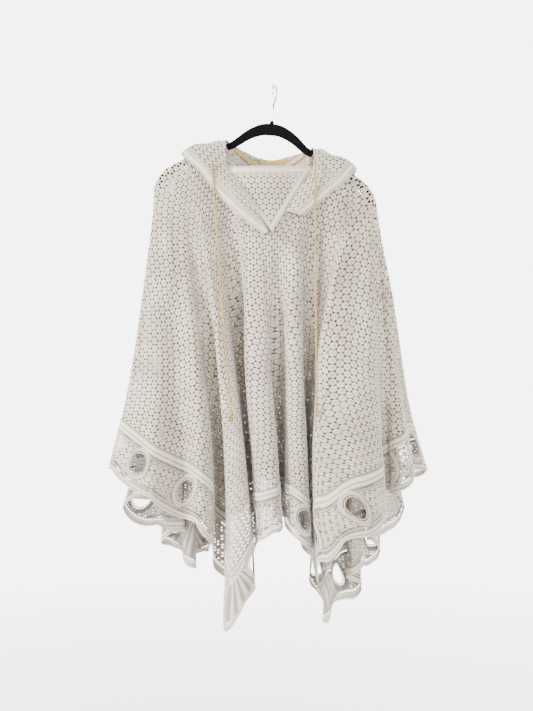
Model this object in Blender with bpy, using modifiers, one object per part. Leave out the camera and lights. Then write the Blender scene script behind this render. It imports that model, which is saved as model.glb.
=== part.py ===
"""Hooded lace poncho hanging on a velvet hanger.

Metres, +Z up, front toward -Y, origin inside the top of the hook. The poncho is cut flat, as a
square of lace with a V neck and four eyelet borders, and drape() lays each flat point on the
hung cloth. Lengths below are in millimetres of the flat cut or of the hung form.
"""

import math

import bmesh
import bpy
import numpy as np
from mathutils import Vector
from mathutils.geometry import delaunay_2d_cdt

MM = 0.001
WALL = 1.4
SEAM = 0.3

# Flat cut of the poncho
HALF = 750.0
BORDER = 88.0
NECK = 100.0
V_DEPTH = 157.0
BACK_DEPTH = 25.0
TWIST = 50.0 / 177.0  # the square hangs turned: its shoulder line rises this much across it
LOOP = 8 * HALF

# Border: eyelets and the scalloped edge
EYELET_PITCH = 124.0
EYELET_COUNT = 11
EYELET_R = 18.5
EYELET_DEPTH = 45.0
EYELET_SIDES = 12
EYELET_RIM = 5.0
SCALLOP = 9.0
BORDER_ROWS = (64.0, 26.0)
MITRE_ROWS = (30.0, 60.0)

# Hanger, in its own frame: across, up, from the nub below the hook. END is the place of its
# tips along the flat shoulder line, and WRAP_R the cloth's radius over its rounded top
NUB = (-8.0, 0.0, -72.0)
TILT = math.radians(5.0)
END = 264.0
WRAP_R = 5.4
WRAP = WRAP_R * math.pi / 2
LIFT_FRONT = 5.5
LIFT_BACK = 12.0
HANGER_THICK = 6.0
ARM = [(92, -55.5), (115, -66), (140, -78), (165, -92), (184, -103), (200, -115), (210, -128),
       (217, -144), (219, -152)]
ARCH = [(0, -5.5, 23.5), (20, -8, 22.5), (40, -17.5, 20), (55, -28.5, 17.5), (67, -39.5, 15.5),
        (78, -48.5, 14)]
ARM_HEIGHT = 12.5
NUB_SIZE = (5.2, 3.2, 9.0)

# Neckline in the hanger's frame: the V's point and how far its sides swing, the back's lowest
# place, and where its ends roll over the arms
V_POINT = (16.0, -38.0, -226.0)
V_SWING = (6.0, -6.0, 10.0)
BACK_LOW = (48.0, -92.0)
NECK_SEAT = (90.8, -58.2)
ARM_SLOPE = (0.894, -0.447)
ROLL_FRONT, ROLL_BACK = 3.4, 11.0

# Fall of the folds: with FALL 1 the cloth would be straight from shoulder to hem. The folds are
# full from FULL of the way down, and above it they fade, by the power RISE, into the cloth
# averaged over SOFTEN. Beyond LATE along the shoulders they open later. PACE rounds their tips
FALL = 1.4
FULL = 0.68
SOFTEN = 110.0
PACE = 0.9
RISE = 1.4
LATE = 205.0
LATE_SPAN = 40.0

# Sampling: turn and length of hem between rays, places down them, and the least step
TURN_STEP = math.radians(40.0)
SPAN_STEP = 84.0
LEVELS = (0.18, 0.34, 0.45, 0.57, FULL, 0.78)
SIDE_STEPS = (0, 0.14, 0.28, 0.42, 0.56, 0.68, 0.8, 0.9)
CROWD = 2.6
CROWD_END = 5.0

# Hem of the hung cloth, a row for each turn of a fold: along the flat side, then x, y, z where
# it hangs, the place on the shoulders it hangs from, and its sideways bow at half length
RIGHT_MID, LEFT_MID = -222, 202
HEM_FRONT = [
    (-750, -95, -168, -1044, -177, 30), (-667, -46, -158, -983, -160, 20),
    (-600, -43, -105, -970, -148, 14), (-520, -44, -20, -949, -130, 8),
    (-470, -45, 40, -936, -118, 4), (-440, -37, 70, -929, -110, 2),
    (-410, -28, 42, -914, -100, 0), (-340, -31, -30, -894, -80, 0),
    (-245, -36, -118, -886, -56, 0), (-222, -28, -138, -884, -50, 0),
    (-196, -10, -146, -878, -38, 0), (-172, 6, -138, -872, -26, 0),
    (-154, 10, -120, -865, -18, 0), (-76, 1, -44, -861, -8, 0),
    (2, -6, 34, -864, 2, 0), (28, 3, 58, -866, 6, 0),
    (54, 13, 34, -864, 12, 0), (134, 18, -44, -865, 24, 0),
    (208, 21, -114, -870, 34, 0), (228, 30, -133, -874, 38, 0),
    (250, 46, -140, -886, 46, 0), (272, 61, -132, -899, 56, -4),
    (288, 66, -114, -904, 60, -6), (372, 58, -38, -915, 76, -8),
    (452, 51, 38, -927, 96, -10), (482, 60, 68, -938, 106, -14),
    (512, 70, 40, -942, 118, -20), (600, 75, -20, -951, 140, -28),
    (690, 76, -64, -960, 160, -34),
]
HEM_RIGHT = [
    (-750, 80, -92, -969, 177, -38), (-690, 79, -140, -942, 184, -40),
    (-630, 84, -172, -916, 190, -38), (-605, 96, -184, -914, 193, -36),
    (-556, 134, -182, -883, 199, -20), (-496, 176, -160, -869, 210, -8),
    (-440, 204, -120, -856, 220.5, 0), (-380, 207, -60, -832, 232, 0),
    (-334, 208, -14, -818, 241, 0), (-308, 222, -6, -813, 246, 0),
    (-258, 224, -58, -805, 256.5, 0), (-236, 236, -74, -799, 261.5, 0),
    (-222, 249, -77, -795, 264, 0), (-205, 262, -70, -789, 263.5, 0),
    (-175, 270, -42, -774, 262.5, 0), (-140, 274, -8, -763, 261.5, 0),
    (-112, 292, 0, -765, 261, 0), (-85, 306, 24, -773, 260, 0),
    (-40, 300, 62, -785, 259, 0), (10, 268, 70, -787, 257.5, 0),
    (60, 226, 50, -791, 255, 0), (86, 220, 70, -798, 254, 0),
    (150, 262, 100, -842, 250, 0), (180, 266, 122, -881, 247.5, 0),
    (222, 230, 100, -905, 242, 0), (266, 200, 78, -911, 237, 0),
    (290, 188, 92, -924, 233.5, 0), (352, 214, 132, -941, 224.5, 0),
    (384, 218, 151, -961, 219, 0), (414, 204, 158, -983, 214, 0),
    (470, 176, 128, -990, 206.5, 0), (497, 160, 109, -993, 202.5, 0),
    (519, 147, 125, -1001, 200.5, 0), (558, 168, 150, -1026, 197, 0),
    (585, 182, 169, -1044, 194, 0), (602, 174, 180, -1055, 192, 0),
    (640, 147, 175, -1059, 188, 0), (690, 124, 148, -1071, 183, 0),
]
HEM_BACK = [
    (750, 103, 115, -1095, 177, 0), (690, 100, 172, -1069, 166, 0),
    (665, 90, 194, -1052, 161, 0), (640, 76, 178, -1029, 156, 0),
    (570, 76, 118, -964, 140, 0), (545, 67, 99, -946, 134, 0),
    (520, 58, 118, -939, 128, 0), (440, 58, 194, -923, 112, 0),
    (412, 47, 216, -916, 104, 0), (384, 34, 194, -904, 96, 0),
    (300, 34, 114, -882, 74, 0), (276, 24, 95, -875, 68, 0),
    (252, 14, 114, -873, 62, 0), (166, 12, 194, -869, 40, 0),
    (136, -2, 216, -868, 32, 0), (106, -16, 194, -863, 24, 0),
    (18, -16, 114, -853, 2, 0), (-7, -27, 95, -852, -4, 0),
    (-32, -38, 114, -855, -10, 0), (-120, -38, 194, -861, -34, 0),
    (-150, -52, 214, -863, -42, 0), (-180, -66, 194, -865, -50, 0),
    (-266, -66, 114, -865, -72, 0), (-291, -77, 97, -869, -78, 0),
    (-316, -88, 114, -873, -84, 0), (-402, -88, 192, -886, -106, 0),
    (-432, -102, 208, -893, -114, 0), (-462, -116, 190, -899, -122, 0),
    (-540, -116, 118, -918, -138, 0), (-566, -127, 102, -926, -142, 0),
    (-592, -138, 118, -937, -147, 0), (-640, -145, 163, -955, -155, 0),
    (-668, -156, 180, -963, -161, 0), (-690, -168, 168, -969, -165.5, 0),
]
HEM_LEFT = [
    (750, -172, 120, -981, -177, 0), (718, -192, 130, -973, -182, 0),
    (690, -199, 148, -961, -186, 0), (660, -215, 160, -949, -191.5, 0),
    (612, -240, 142, -932, -198, 0),
    (588, -230, 122, -923, -201.5, 0), (540, -192, 110, -908, -210, 0),
    (515, -186, 92, -897, -214, 0), (450, -236, 84, -898, -225.5, 0),
    (410, -270, 76, -891, -232, 0), (372, -300, 62, -868, -238.5, 0),
    (346, -308, 44, -847, -243.5, 0), (318, -294, 30, -838, -248.5, 0),
    (246, -228, 32, -820, -260, 0), (222, -216, 20, -808, -262.5, 0),
    (202, -226, 12, -802, -264, 0), (130, -298, 6, -779, -262.5, 0),
    (104, -308, -8, -771, -262, 0), (76, -296, -20, -766, -261.5, 0),
    (0, -226, -20, -758, -259.5, 0), (-26, -218, -36, -755, -259, 0),
    (-120, -304, -40, -754, -254, -6), (-152, -324, -50, -757, -250, -10),
    (-180, -322, -74, -763, -247.5, -10), (-222, -298, -100, -775, -242, -8),
    (-280, -262, -120, -797, -234.5, -4), (-330, -230, -132, -820, -227, 0),
    (-366, -202, -106, -837, -220.5, 2), (-392, -184, -94, -847, -216.5, 4),
    (-420, -166, -108, -854, -213, 8), (-466, -138, -140, -873, -205, 16),
    (-492, -124, -126, -890, -201.5, 20), (-546, -121, -80, -923, -196, 22),
    (-600, -121, -30, -957, -191, 24), (-624, -107, -8, -972, -188, 26),
    (-648, -93, -30, -980, -186, 28), (-700, -99, -96, -1006, -181, 30),
]

# Hood: nine points from the neck seam out to the opening edge at each station, V to V
HOOD_FRONT_LEFT = [  # seam x, y, z, then edge x, y, z of a lapel station
    (-15, -56, -297, -27, -55, -301), (-42, -49, -252, -71, -49, -267),
    (-69, -39, -209, -121, -40, -215), (-95, -28, -173, -152, -32, -174),
    (-99, -17, -130, -183, -17, -146), (-97, 5, -109, -187, 7, -137),
]
HOOD_POUCH = [
    [(-82, 27, -134), (-92, 32, -115), (-103, 37, -106), (-114, 43, -112), (-131, 50, -150),
     (-145, 56, -200), (-156, 63, -230), (-166, 62, -212), (-176, 46, -150)],
    [(-55, 43, -149), (-57, 52, -132), (-62, 61, -124), (-70, 70, -136), (-82, 80, -210),
     (-92, 93, -300), (-98, 108, -350), (-106, 120, -322), (-108, 112, -180)],
    [(-16, 52, -160), (-16, 59, -146), (-16, 67, -140), (-16, 78, -152), (-16, 88, -232),
     (-16, 101, -332), (-16, 118, -392), (-16, 134, -364), (-16, 128, -196)],
    [(24, 43, -156), (27, 52, -139), (32, 61, -132), (39, 70, -144), (50, 80, -220),
     (60, 93, -312), (65, 108, -362), (72, 120, -334), (76, 112, -192)],
    [(56, 27, -145), (68, 32, -129), (82, 37, -121), (93, 43, -128), (108, 50, -168),
     (120, 56, -220), (130, 63, -252), (140, 62, -236), (150, 46, -178)],
]
HOOD_FRONT_RIGHT = [
    (71, 5, -124.7, 160, 7, -167), (74, -17, -143.7, 154, -17, -174),
    (69, -28, -175, 132, -32, -199), (45, -39, -213, 98, -40, -227),
    (19, -49, -257, 53, -49, -265), (-4, -56, -297, 10, -55, -300),
]
LAPEL_ROLL = 6.0

# Inset behind the V, its two top corners and its foot
INSET_LEFT = (-112.0, -17.4, -165.5)
INSET_RIGHT = (74.0, -17.4, -164.0)
INSET_FOOT = (-9.5, -49.4, -290.0)
INSET_SAG = 10.0

# Drawstring: two free ends, and down each tip its distance and radius
CORD_D = 3.8
TIP = [(0.0, 1.9), (0.6, 2.5), (11.0, 2.2), (13.0, 1.2)]
TIP_SIDES = 10
CORD_LEFT = [(-125, -36, -162), (-124.5, -39, -172), (-123, -43, -190), (-121, -46, -220),
             (-117, -50, -270), (-112, -55, -340), (-106, -62, -420), (-99, -73, -500),
             (-92, -86, -580), (-86, -97, -650)]
CORD_RIGHT = [(76, -30.7, -153), (76, -37.7, -163), (76, -43.7, -182), (76, -47.7, -214),
              (76, -50.7, -260), (76, -54.7, -330), (76, -62.7, -410), (76, -74.7, -490),
              (76, -88.7, -570), (76, -98.7, -640)]

# Hook: its loop is seen nearly edge-on, and its top is at the origin
WIRE_D = 3.0
HOOK_TURN = math.radians(78.0)
HOOK_R = 17.5
HOOK_RISE = 73.6 - HOOK_R
SHANK = [(0, 0.6), (0, 14), (0, 24), (1.2, 30), (5.0, 35.5), (10.2, 41)]


def arr(points):
    return np.array(points, float)


def hang(across, y, up):
    """Hanger frame to world."""
    c, s = math.cos(TILT), math.sin(TILT)
    return np.stack([NUB[0] + across * c + up * s, NUB[1] + y, NUB[2] - across * s + up * c], -1)


def cross(a, b):
    return a[:, 0] * b[:, 1] - a[:, 1] * b[:, 0]


def loop_rows():
    rows = [(HALF + a, x, y, z, w, b) for a, x, y, z, w, b in HEM_FRONT]
    rows += [(3 * HALF + a, x, y, z, w if a <= RIGHT_MID else 2 * END - w, b)
             for a, x, y, z, w, b in HEM_RIGHT]
    rows += [(5 * HALF - a, x, y, z, 2 * END - w, b) for a, x, y, z, w, b in HEM_BACK]
    rows += [(7 * HALF - a, x, y, z, 2 * END - w if a >= LEFT_MID else 4 * END + w, b)
             for a, x, y, z, w, b in HEM_LEFT]
    return arr(sorted(rows))


ROWS = loop_rows()
SHIFT = arr([LOOP, 0, 0, 0, 4 * END, 0])
KNOTS = np.vstack([ROWS[-12:] - SHIFT, ROWS, ROWS[:12] + SHIFT])
if (np.diff(KNOTS[:, 0]) <= 0).any() or (np.diff(KNOTS[:, 4]) < 0).any():
    raise ValueError("the hem rows are out of order")


def brisk(way):
    """Lengthen slow tangents, so that the fold tips come out round."""
    return way * np.clip(PACE / np.hypot(way[:, 0], way[:, 1]), 1, 4)[:, None]


def hem_world(p):
    """Smooth curve through the hem rows."""
    p = p % LOOP
    k, x = KNOTS[:, 0], KNOTS[:, 1:4]
    i = np.clip(np.searchsorted(k, p, side="right") - 1, 1, len(k) - 3)
    p0, p1, p2, p3 = (k[i + n][:, None] for n in (-1, 0, 1, 2))
    x0, x1, x2, x3 = (x[i + n] for n in (-1, 0, 1, 2))
    h = p2 - p1
    m1 = brisk(((x1 - x0) / (p1 - p0) * h + (x2 - x1) / h * (p1 - p0)) / (p2 - p0))
    m2 = brisk(((x2 - x1) / h * (p3 - p2) + (x3 - x2) / (p3 - p2) * h) / (p3 - p1))
    t = (p[:, None] - p1) / h
    return ((2 * t**3 - 3 * t**2 + 1) * x1 + (t**3 - 2 * t**2 + t) * h * m1
            + (3 * t**2 - 2 * t**3) * x2 + (t**3 - t**2) * h * m2)


SOFT_AT = np.arange(0.0, LOOP, 10.0)
SOFT_WAY = np.exp(-0.5 * (np.arange(-400.0, 401.0, 10.0) / SOFTEN) ** 2)
SOFT_HEM = hem_world(SOFT_AT)
SOFT_HEM = np.stack([np.convolve(np.tile(c, 3), SOFT_WAY / SOFT_WAY.sum(), "same")
                     [len(c):2 * len(c)] for c in SOFT_HEM.T], -1)


def soft_hem(p):
    """The hem with its folds averaged away."""
    return np.stack([np.interp(p % LOOP, SOFT_AT, c, period=LOOP) for c in SOFT_HEM.T], -1)


def support_of(p):
    """Place along the shoulders a ray hangs from, and its side: -1 front, 1 back."""
    s = np.interp(p % LOOP, KNOTS[:, 0], KNOTS[:, 4])
    s = (s + END) % (4 * END) - END
    front = s <= END
    return np.where(front, s, 2 * END - s), np.where(front, -1.0, 1.0)


def hem_flat(p):
    p = p % LOOP
    a = p % (2 * HALF) - HALF
    side = (p // (2 * HALF)).astype(int)
    u = np.choose(side, [a, a * 0 + HALF, -a, a * 0 - HALF])
    v = np.choose(side, [a * 0 - HALF, a, a * 0 + HALF, -a])
    return np.stack([u, v], -1)


def ridge(w):
    return -10.0 - TWIST * w


def support_flat(w, side):
    t = np.clip(1 - np.abs(w) / NECK, 0, 1)
    return np.stack([w, ridge(w) + np.where(side < 0, -V_DEPTH, BACK_DEPTH) * t], -1)


ARM_XY = arr(ARM)
ARM_AT = np.concatenate([[0.0], np.cumsum(np.hypot(*np.diff(ARM_XY, axis=0).T))])
ARM_WAY = np.gradient(ARM_XY, ARM_AT, axis=0)
ARM_WAY /= np.hypot(*ARM_WAY.T)[:, None]


def arm_frame(w):
    """Middle of the arm's rounded top and its outward normal, in the hanger frame."""
    sign = np.where(w < 0, -1.0, 1.0)
    at = np.clip(np.abs(w), NECK, END) - NECK
    point = np.stack([np.interp(at, ARM_AT, c) for c in ARM_XY.T], -1)
    way = np.stack([np.interp(at, ARM_AT, c) for c in ARM_WAY.T], -1)
    normal = np.stack([-way[:, 1], way[:, 0]], -1) / np.hypot(*way.T)[:, None]
    mirror = np.stack([sign, sign * 0 + 1], -1)
    return (point - normal * HANGER_THICK / 2) * mirror, normal * mirror


def lift(w, side):
    """How far the neckline has climbed the arm's top: 1 on it, 0 on its face."""
    reach = np.where(side < 0, LIFT_FRONT, LIFT_BACK)
    return np.clip((np.abs(w) - NECK + reach) / reach, 0, 1)


def neck_world(w, side):
    """Neckline, in the hanger frame: a V in front and a shallow curve behind."""
    sign = np.where(w < 0, -1.0, 1.0)
    front = side < 0
    t = np.clip(np.abs(w) / (NECK - np.where(front, LIFT_FRONT, LIFT_BACK)), 0, 1)
    roll = np.where(front, ROLL_FRONT, ROLL_BACK)
    h, up = NECK_SEAT[0] - ARM_SLOPE[0] * roll, NECK_SEAT[1] - ARM_SLOPE[1] * roll
    slide = lift(w, side) * roll
    swing = np.sin(math.pi * t)
    (x, y, z), (dx, dy, dz), (back, low) = V_POINT, V_SWING, BACK_LOW
    fore = np.stack([x + (sign * h - x) * t + sign * dx * swing,
                     y - (WRAP_R + y) * t + dy * swing, z + (up - z) * t + dz * swing], -1)
    aft = np.stack([sign * h * t, WRAP_R + (back - WRAP_R) * np.cos(t * math.pi / 2),
                    low + (up - low) * t ** 2], -1)
    out = np.where(front[:, None], fore, aft)
    out[:, 0] += sign * ARM_SLOPE[0] * slide
    out[:, 2] += ARM_SLOPE[1] * slide
    return out


def over_arm(p):
    """How far each ray runs over the top of the arm, and what it needs there."""
    w, side = support_of(p)
    base, hem = support_flat(w, side), hem_flat(p)
    reach = np.hypot(*(hem - base).T)
    stretch = math.hypot(1, TWIST)
    along_arm = np.stack([np.sign(w + 1e-9), -TWIST * np.sign(w + 1e-9)], -1) / stretch
    way = (hem - base) / reach[:, None]
    c = (way * along_arm).sum(axis=1)
    sn = np.maximum(np.abs(cross(along_arm, way)), 1e-4)
    over = lift(w, side)
    room = np.where(c > 1e-6, (END - np.abs(w)) * stretch / np.maximum(c, 1e-6), 1e9)
    travel = np.minimum(over * WRAP / sn, room)
    return w, side, reach, over, travel, c / stretch, sn


def lay(p, along):
    """World place of the flat point `along` millimetres down the ray that ends at p."""
    w, side, reach, over, travel, c, sn = over_arm(p)
    gone = np.minimum(along, travel)
    a = np.maximum(over * math.pi / 2 - gone * sn / WRAP_R, 0)
    sign = np.where(w < 0, -1.0, 1.0)
    centre, normal = arm_frame(sign * (np.maximum(np.abs(w), NECK) + gone * c))
    neck = neck_world(w, side)
    across = neck[:, [0, 2]] + (centre - arm_frame(sign * NECK)[0]) * over[:, None]
    on_arm = np.abs(w) >= NECK
    lifted = np.where(on_arm[:, None], centre, across) + WRAP_R * np.sin(a)[:, None] * normal
    y = np.where(on_arm, side * WRAP_R, neck[:, 1]) + side * WRAP_R * (np.cos(a) - 1)
    start = hang(lifted[:, 0], y, lifted[:, 1])
    tau = (along - gone) / (reach - travel)
    late = np.clip((np.abs(w) - LATE) / LATE_SPAN, 0, 1)
    folded = (np.clip(tau / (FULL + (1 - FULL) * late), 0, 1) ** (RISE + late))[:, None]
    end, soft = hem_world(p), soft_hem(p)
    end[:, :2] = soft[:, :2] + (end - soft)[:, :2] * folded
    bow = np.interp(p % LOOP, KNOTS[:, 0], KNOTS[:, 5])
    out = start + (end - start) * tau[:, None]
    out[:, 0] += 4 * tau * (1 - tau) * bow
    out[:, 1] = start[:, 1] + (end[:, 1] - start[:, 1]) * tau ** FALL
    return out


def side_line(u):
    """Flat line from side to side, over both shoulders, that parts the front from the back."""
    return np.interp(u, [-HALF, -END, END, HALF],
                     [LEFT_MID, ridge(-END), ridge(END), RIGHT_MID])


def locate(flat):
    """The ray each flat point (u, v) is on, and how far down it."""
    q = arr(flat)
    front = q[:, 1] <= side_line(q[:, 0])
    lo = np.where(front, -HALF - LEFT_MID, 3 * HALF + RIGHT_MID)
    hi = np.where(front, 3 * HALF + RIGHT_MID, 7 * HALF - LEFT_MID)
    for _ in range(44):
        p = (lo + hi) / 2
        base = support_flat(*support_of(p))
        left = cross(hem_flat(p) - base, q - base) > 0
        lo, hi = np.where(left, p, lo), np.where(left, hi, p)
    p = (lo + hi) / 2
    return p, np.hypot(*(q - support_flat(*support_of(p))).T)


def drape(flat):
    """Flat points to world, all in millimetres."""
    return lay(*locate(flat))


def drape_normal(flat, step=0.5):
    """Unit normal of the draped cloth, away from its face side."""
    p, along = locate(flat)
    down = lay(p, along + step) - lay(p, np.maximum(along - step, 0))
    n = np.cross(down, lay(p + step, along) - lay(p - step, along))
    return n / np.linalg.norm(n, axis=1)[:, None]


RIM_KEY = np.array([1.0, 0.37, 0.11])


def wall_mesh(name, points, normals, tri, wall=WALL):
    """Closed wall about a triangulated surface: two faces and the rims between them."""
    count = len(points)
    verts = np.vstack([points + normals * wall / 2, points - normals * wall / 2])
    edges = {}
    for a, b, c in tri:
        for e in ((a, b), (b, c), (c, a)):
            edges[e] = edges.get(e, 0) + 1
    rims = []
    for a, b in edges:
        if (b, a) not in edges:
            # the same diagonal on both sides of a seam
            near, far = (a, b) if points[a] @ RIM_KEY < points[b] @ RIM_KEY else (b, a)
            for third in (far, near + count):
                face = (near, far + count, third)
                rims.append(face if (third == far) == (near == a) else face[::-1])
    faces = tri.tolist() + (tri[:, ::-1] + count).tolist() + rims
    mesh = bpy.data.meshes.new(name)
    mesh.from_pydata((verts * MM).tolist(), [], faces)
    return mesh


def columns():
    """Rays the cloth is sampled on: even along the hem, and closer where it turns in plan."""
    p = np.arange(0, LOOP + 1, 2.0)
    way = np.diff(hem_world(p)[:, :2], axis=0)
    turn = np.abs(np.diff(np.unwrap(np.arctan2(way[:, 1], way[:, 0]), period=2 * math.pi)))
    pace = np.interp(p[:-1], p[1:-1], turn) / TURN_STEP + 2.0 / SPAN_STEP
    count = np.concatenate([[0], np.cumsum(pace)])
    total = 4 * round(count[-1] / 4)
    return np.interp(np.arange(total) + 0.5, count * total / count[-1], p)


COLUMNS = columns()


def material(name, rgb, rough, metal=0.0):
    mat = bpy.data.materials.new(name)
    mat.use_nodes = True
    shader = mat.node_tree.nodes["Principled BSDF"]
    shader.inputs["Base Color"].default_value = (*rgb, 1)
    shader.inputs["Roughness"].default_value = rough
    shader.inputs["Metallic"].default_value = metal
    return mat


LACE = ((0.78, 0.75, 0.70), 0.9)
GOLD = ((0.65, 0.46, 0.22), 0.8)


def add(name, mesh, look, collection):
    obj = bpy.data.objects.new(name, mesh)
    collection.objects.link(obj)
    mesh.materials.append(material(name, *look))
    return obj


def thicken(obj, wall=WALL):
    shell = obj.modifiers.new("wall", "SOLIDIFY")
    shell.thickness = wall * MM
    shell.offset = 0.0
    shell.use_rim = True


def cloth_from_flat(name, points, edges, keep, collection, trim=None):
    """Triangulate a flat pattern piece, keep its triangles, trim, drape and thicken it."""
    coords = [Vector(p) for p in points]
    verts, _, faces, _, _, _ = delaunay_2d_cdt(coords, edges, [], 0, 1e-3)
    flat = arr([tuple(v) for v in verts])
    tri = np.array([f for f in faces], int)
    corner = flat[tri]
    area = np.abs(cross(corner[:, 1] - corner[:, 0], corner[:, 2] - corner[:, 0])) / 2
    tri = tri[keep(corner.mean(axis=1)) & (area > 0.001)]
    turned = cross(flat[tri[:, 1]] - flat[tri[:, 0]], flat[tri[:, 2]] - flat[tri[:, 0]]) < 0
    tri[turned] = tri[turned][:, ::-1]
    used = np.unique(tri)
    number = np.full(len(flat), -1)
    number[used] = range(len(used))
    cut = trim(flat[used]) if trim else flat[used]
    mesh = wall_mesh(name, drape(cut), drape_normal(cut), number[tri])
    return add(name, mesh, LACE, collection)


class Pattern:
    """Flat points kept once each, and the lines that must stay edges."""

    def __init__(self):
        self.points, self.edges, self.seen = [], [], {}

    def point(self, u, v):
        key = (round(u / 0.4), round(v / 0.4))
        if key not in self.seen:
            self.seen[key] = len(self.points)
            self.points.append((u, v))
        return self.seen[key]

    def line(self, run, closed=False):
        ids = [self.point(*q) for q in run]
        pairs = list(zip(ids, ids[1:])) + ([(ids[-1], ids[0])] if closed else [])
        self.edges += [(a, b) for a, b in pairs if a != b]


def band_hit(base, hem, depth):
    """Distance down a ray to the square `depth` inside the hem."""
    side = HALF - depth
    way = hem - base
    with np.errstate(divide="ignore", invalid="ignore"):
        hits = np.where(way > 0, (side - base) / way, np.where(way < 0, (-side - base) / way, 9.0))
    return hits.min(axis=1)


def body_rays():
    """Places down each ray that are sampled, the rays thinned out toward the neck and arms."""
    w, side, reach, _, travel, _, _ = over_arm(COLUMNS)
    base, hem = support_flat(w, side), hem_flat(COLUMNS)
    band = band_hit(base, hem, BORDER + SEAM / 2)
    open_top = (np.abs(w) < NECK - 12) | (np.abs(w) > NECK) & (side < 0)
    tip = np.abs(w) > END - 6
    wrap = np.where((travel > 2) & ~tip, travel, np.nan)
    levels = [np.where(open_top & ~tip, 0.0, np.nan), wrap / 2, wrap]
    levels += [k * reach for k in LEVELS] + [band * reach]
    rank = np.arange(len(w)) % 4
    rank[(rank == 2) & (np.abs(w) > 175)] = 0
    allowed = np.array([0, 4, 4, 4])[rank]
    first = np.full(len(w), len(levels))
    for level, steps in enumerate(levels):
        places = lay(COLUMNS, np.nan_to_num(steps))
        for i in np.flatnonzero(np.isfinite(steps) & (allowed <= level) & (first > level)):
            on = np.flatnonzero(first <= level)
            beside = [j for j in (on[on < i][-1:], on[on > i][:1]) if len(j)]
            least = CROWD_END if abs(w[i]) > 225 and level > 2 else CROWD
            room = all(np.linalg.norm(places[i] - places[j[0]]) > least for j in beside)
            if room or level == len(levels) - 1:
                first[i] = level
    runs = [[level[i] for level in levels[first[i]:] if np.isfinite(level[i])]
            for i in range(len(w))]
    return w, side, base, hem, band, reach, first == 0, runs


def make_body(collection):
    """Front and back, cut apart along the shoulders and down the sides."""
    pat = Pattern()
    w, side, base, hem, band, reach, top, runs = body_rays()
    lip = HALF - BORDER - SEAM / 2
    for sign, mid in ((-1, LEFT_MID), (1, RIGHT_MID)):
        tip, foot = arr([sign * END, ridge(sign * END)]), arr([sign * HALF, mid])
        down = (lip - END) / (HALF - END)
        pat.line([tuple(tip + (foot - tip) * t) for t in SIDE_STEPS if t < down - 0.02]
                 + [tuple(tip + (foot - tip) * down)])
    outline = base + (hem - base) * band[:, None]
    apart = np.abs(outline).min(axis=1) < lip - 4
    outline = [(math.atan2(v, u), float(u), float(v)) for u, v in outline[apart]]
    outline += [(math.atan2(b, a), a, b) for a in (-lip, lip) for b in (-lip, lip)]
    outline += [(math.atan2(side_line(a), a), a, float(side_line(a))) for a in (-lip, lip)]
    pat.line([(u, v) for _, u, v in sorted(outline)], closed=True)
    inner = [tuple(q) for q in base[top & (np.abs(w) < NECK - 12)]]
    inner += [(NECK, ridge(NECK)), (-NECK, ridge(-NECK)), (0, ridge(0) - V_DEPTH)]
    near = arr([s * d for s in (-1, 1) for d in (94.5, 97.2)] + [96, 92, 88, -96, -92, -88])
    inner += [tuple(q) for q in support_flat(near, arr([-1] * 4 + [1] * 6))]
    middle = (0.0, ridge(0.0) - 20)
    inner.sort(key=lambda q: math.atan2(q[1] - middle[1], q[0] - middle[0]))
    pat.line(inner, closed=True)
    for sign in (-1, 1):
        rim = [x for x in w[top & (side < 0)] if NECK + 1 < x * sign < END - 6]
        rim = sorted(rim + [sign * NECK, sign * END], key=abs)
        pat.line([(x, ridge(x)) for x in rim])
    for i, steps in enumerate(runs):
        way = (hem[i] - base[i]) / reach[i]
        pat.line([tuple(base[i] + way * s) for s in (steps if apart[i] else steps[:-1])])
    hole = arr(inner)

    def keep(c):
        inside = np.zeros(len(c), bool)
        for a, b in zip(hole, np.roll(hole, -1, axis=0)):
            spans = (a[1] > c[:, 1]) != (b[1] > c[:, 1])
            at = a[0] + (c[:, 1] - a[1]) * (b[0] - a[0]) / (b[1] - a[1] + 1e-12)
            inside ^= spans & (c[:, 0] < at)
        return ~inside

    for name, sign in (("poncho_front", -1), ("poncho_back", 1)):
        def on_side(c, sign=sign):
            return keep(c) & ((c[:, 1] - side_line(c[:, 0])) * sign > 0)

        def trim(flat, sign=sign):
            on_line = np.abs(flat[:, 1] - side_line(flat[:, 0])) < 1e-3
            return flat + np.outer(on_line, [0.0, sign * SEAM / 2])

        cloth_from_flat(name, pat.points, pat.edges, on_side, collection, trim)


def scallop(a):
    return SCALLOP * (1 - np.abs(np.cos(math.pi * a / EYELET_PITCH)))


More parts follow.
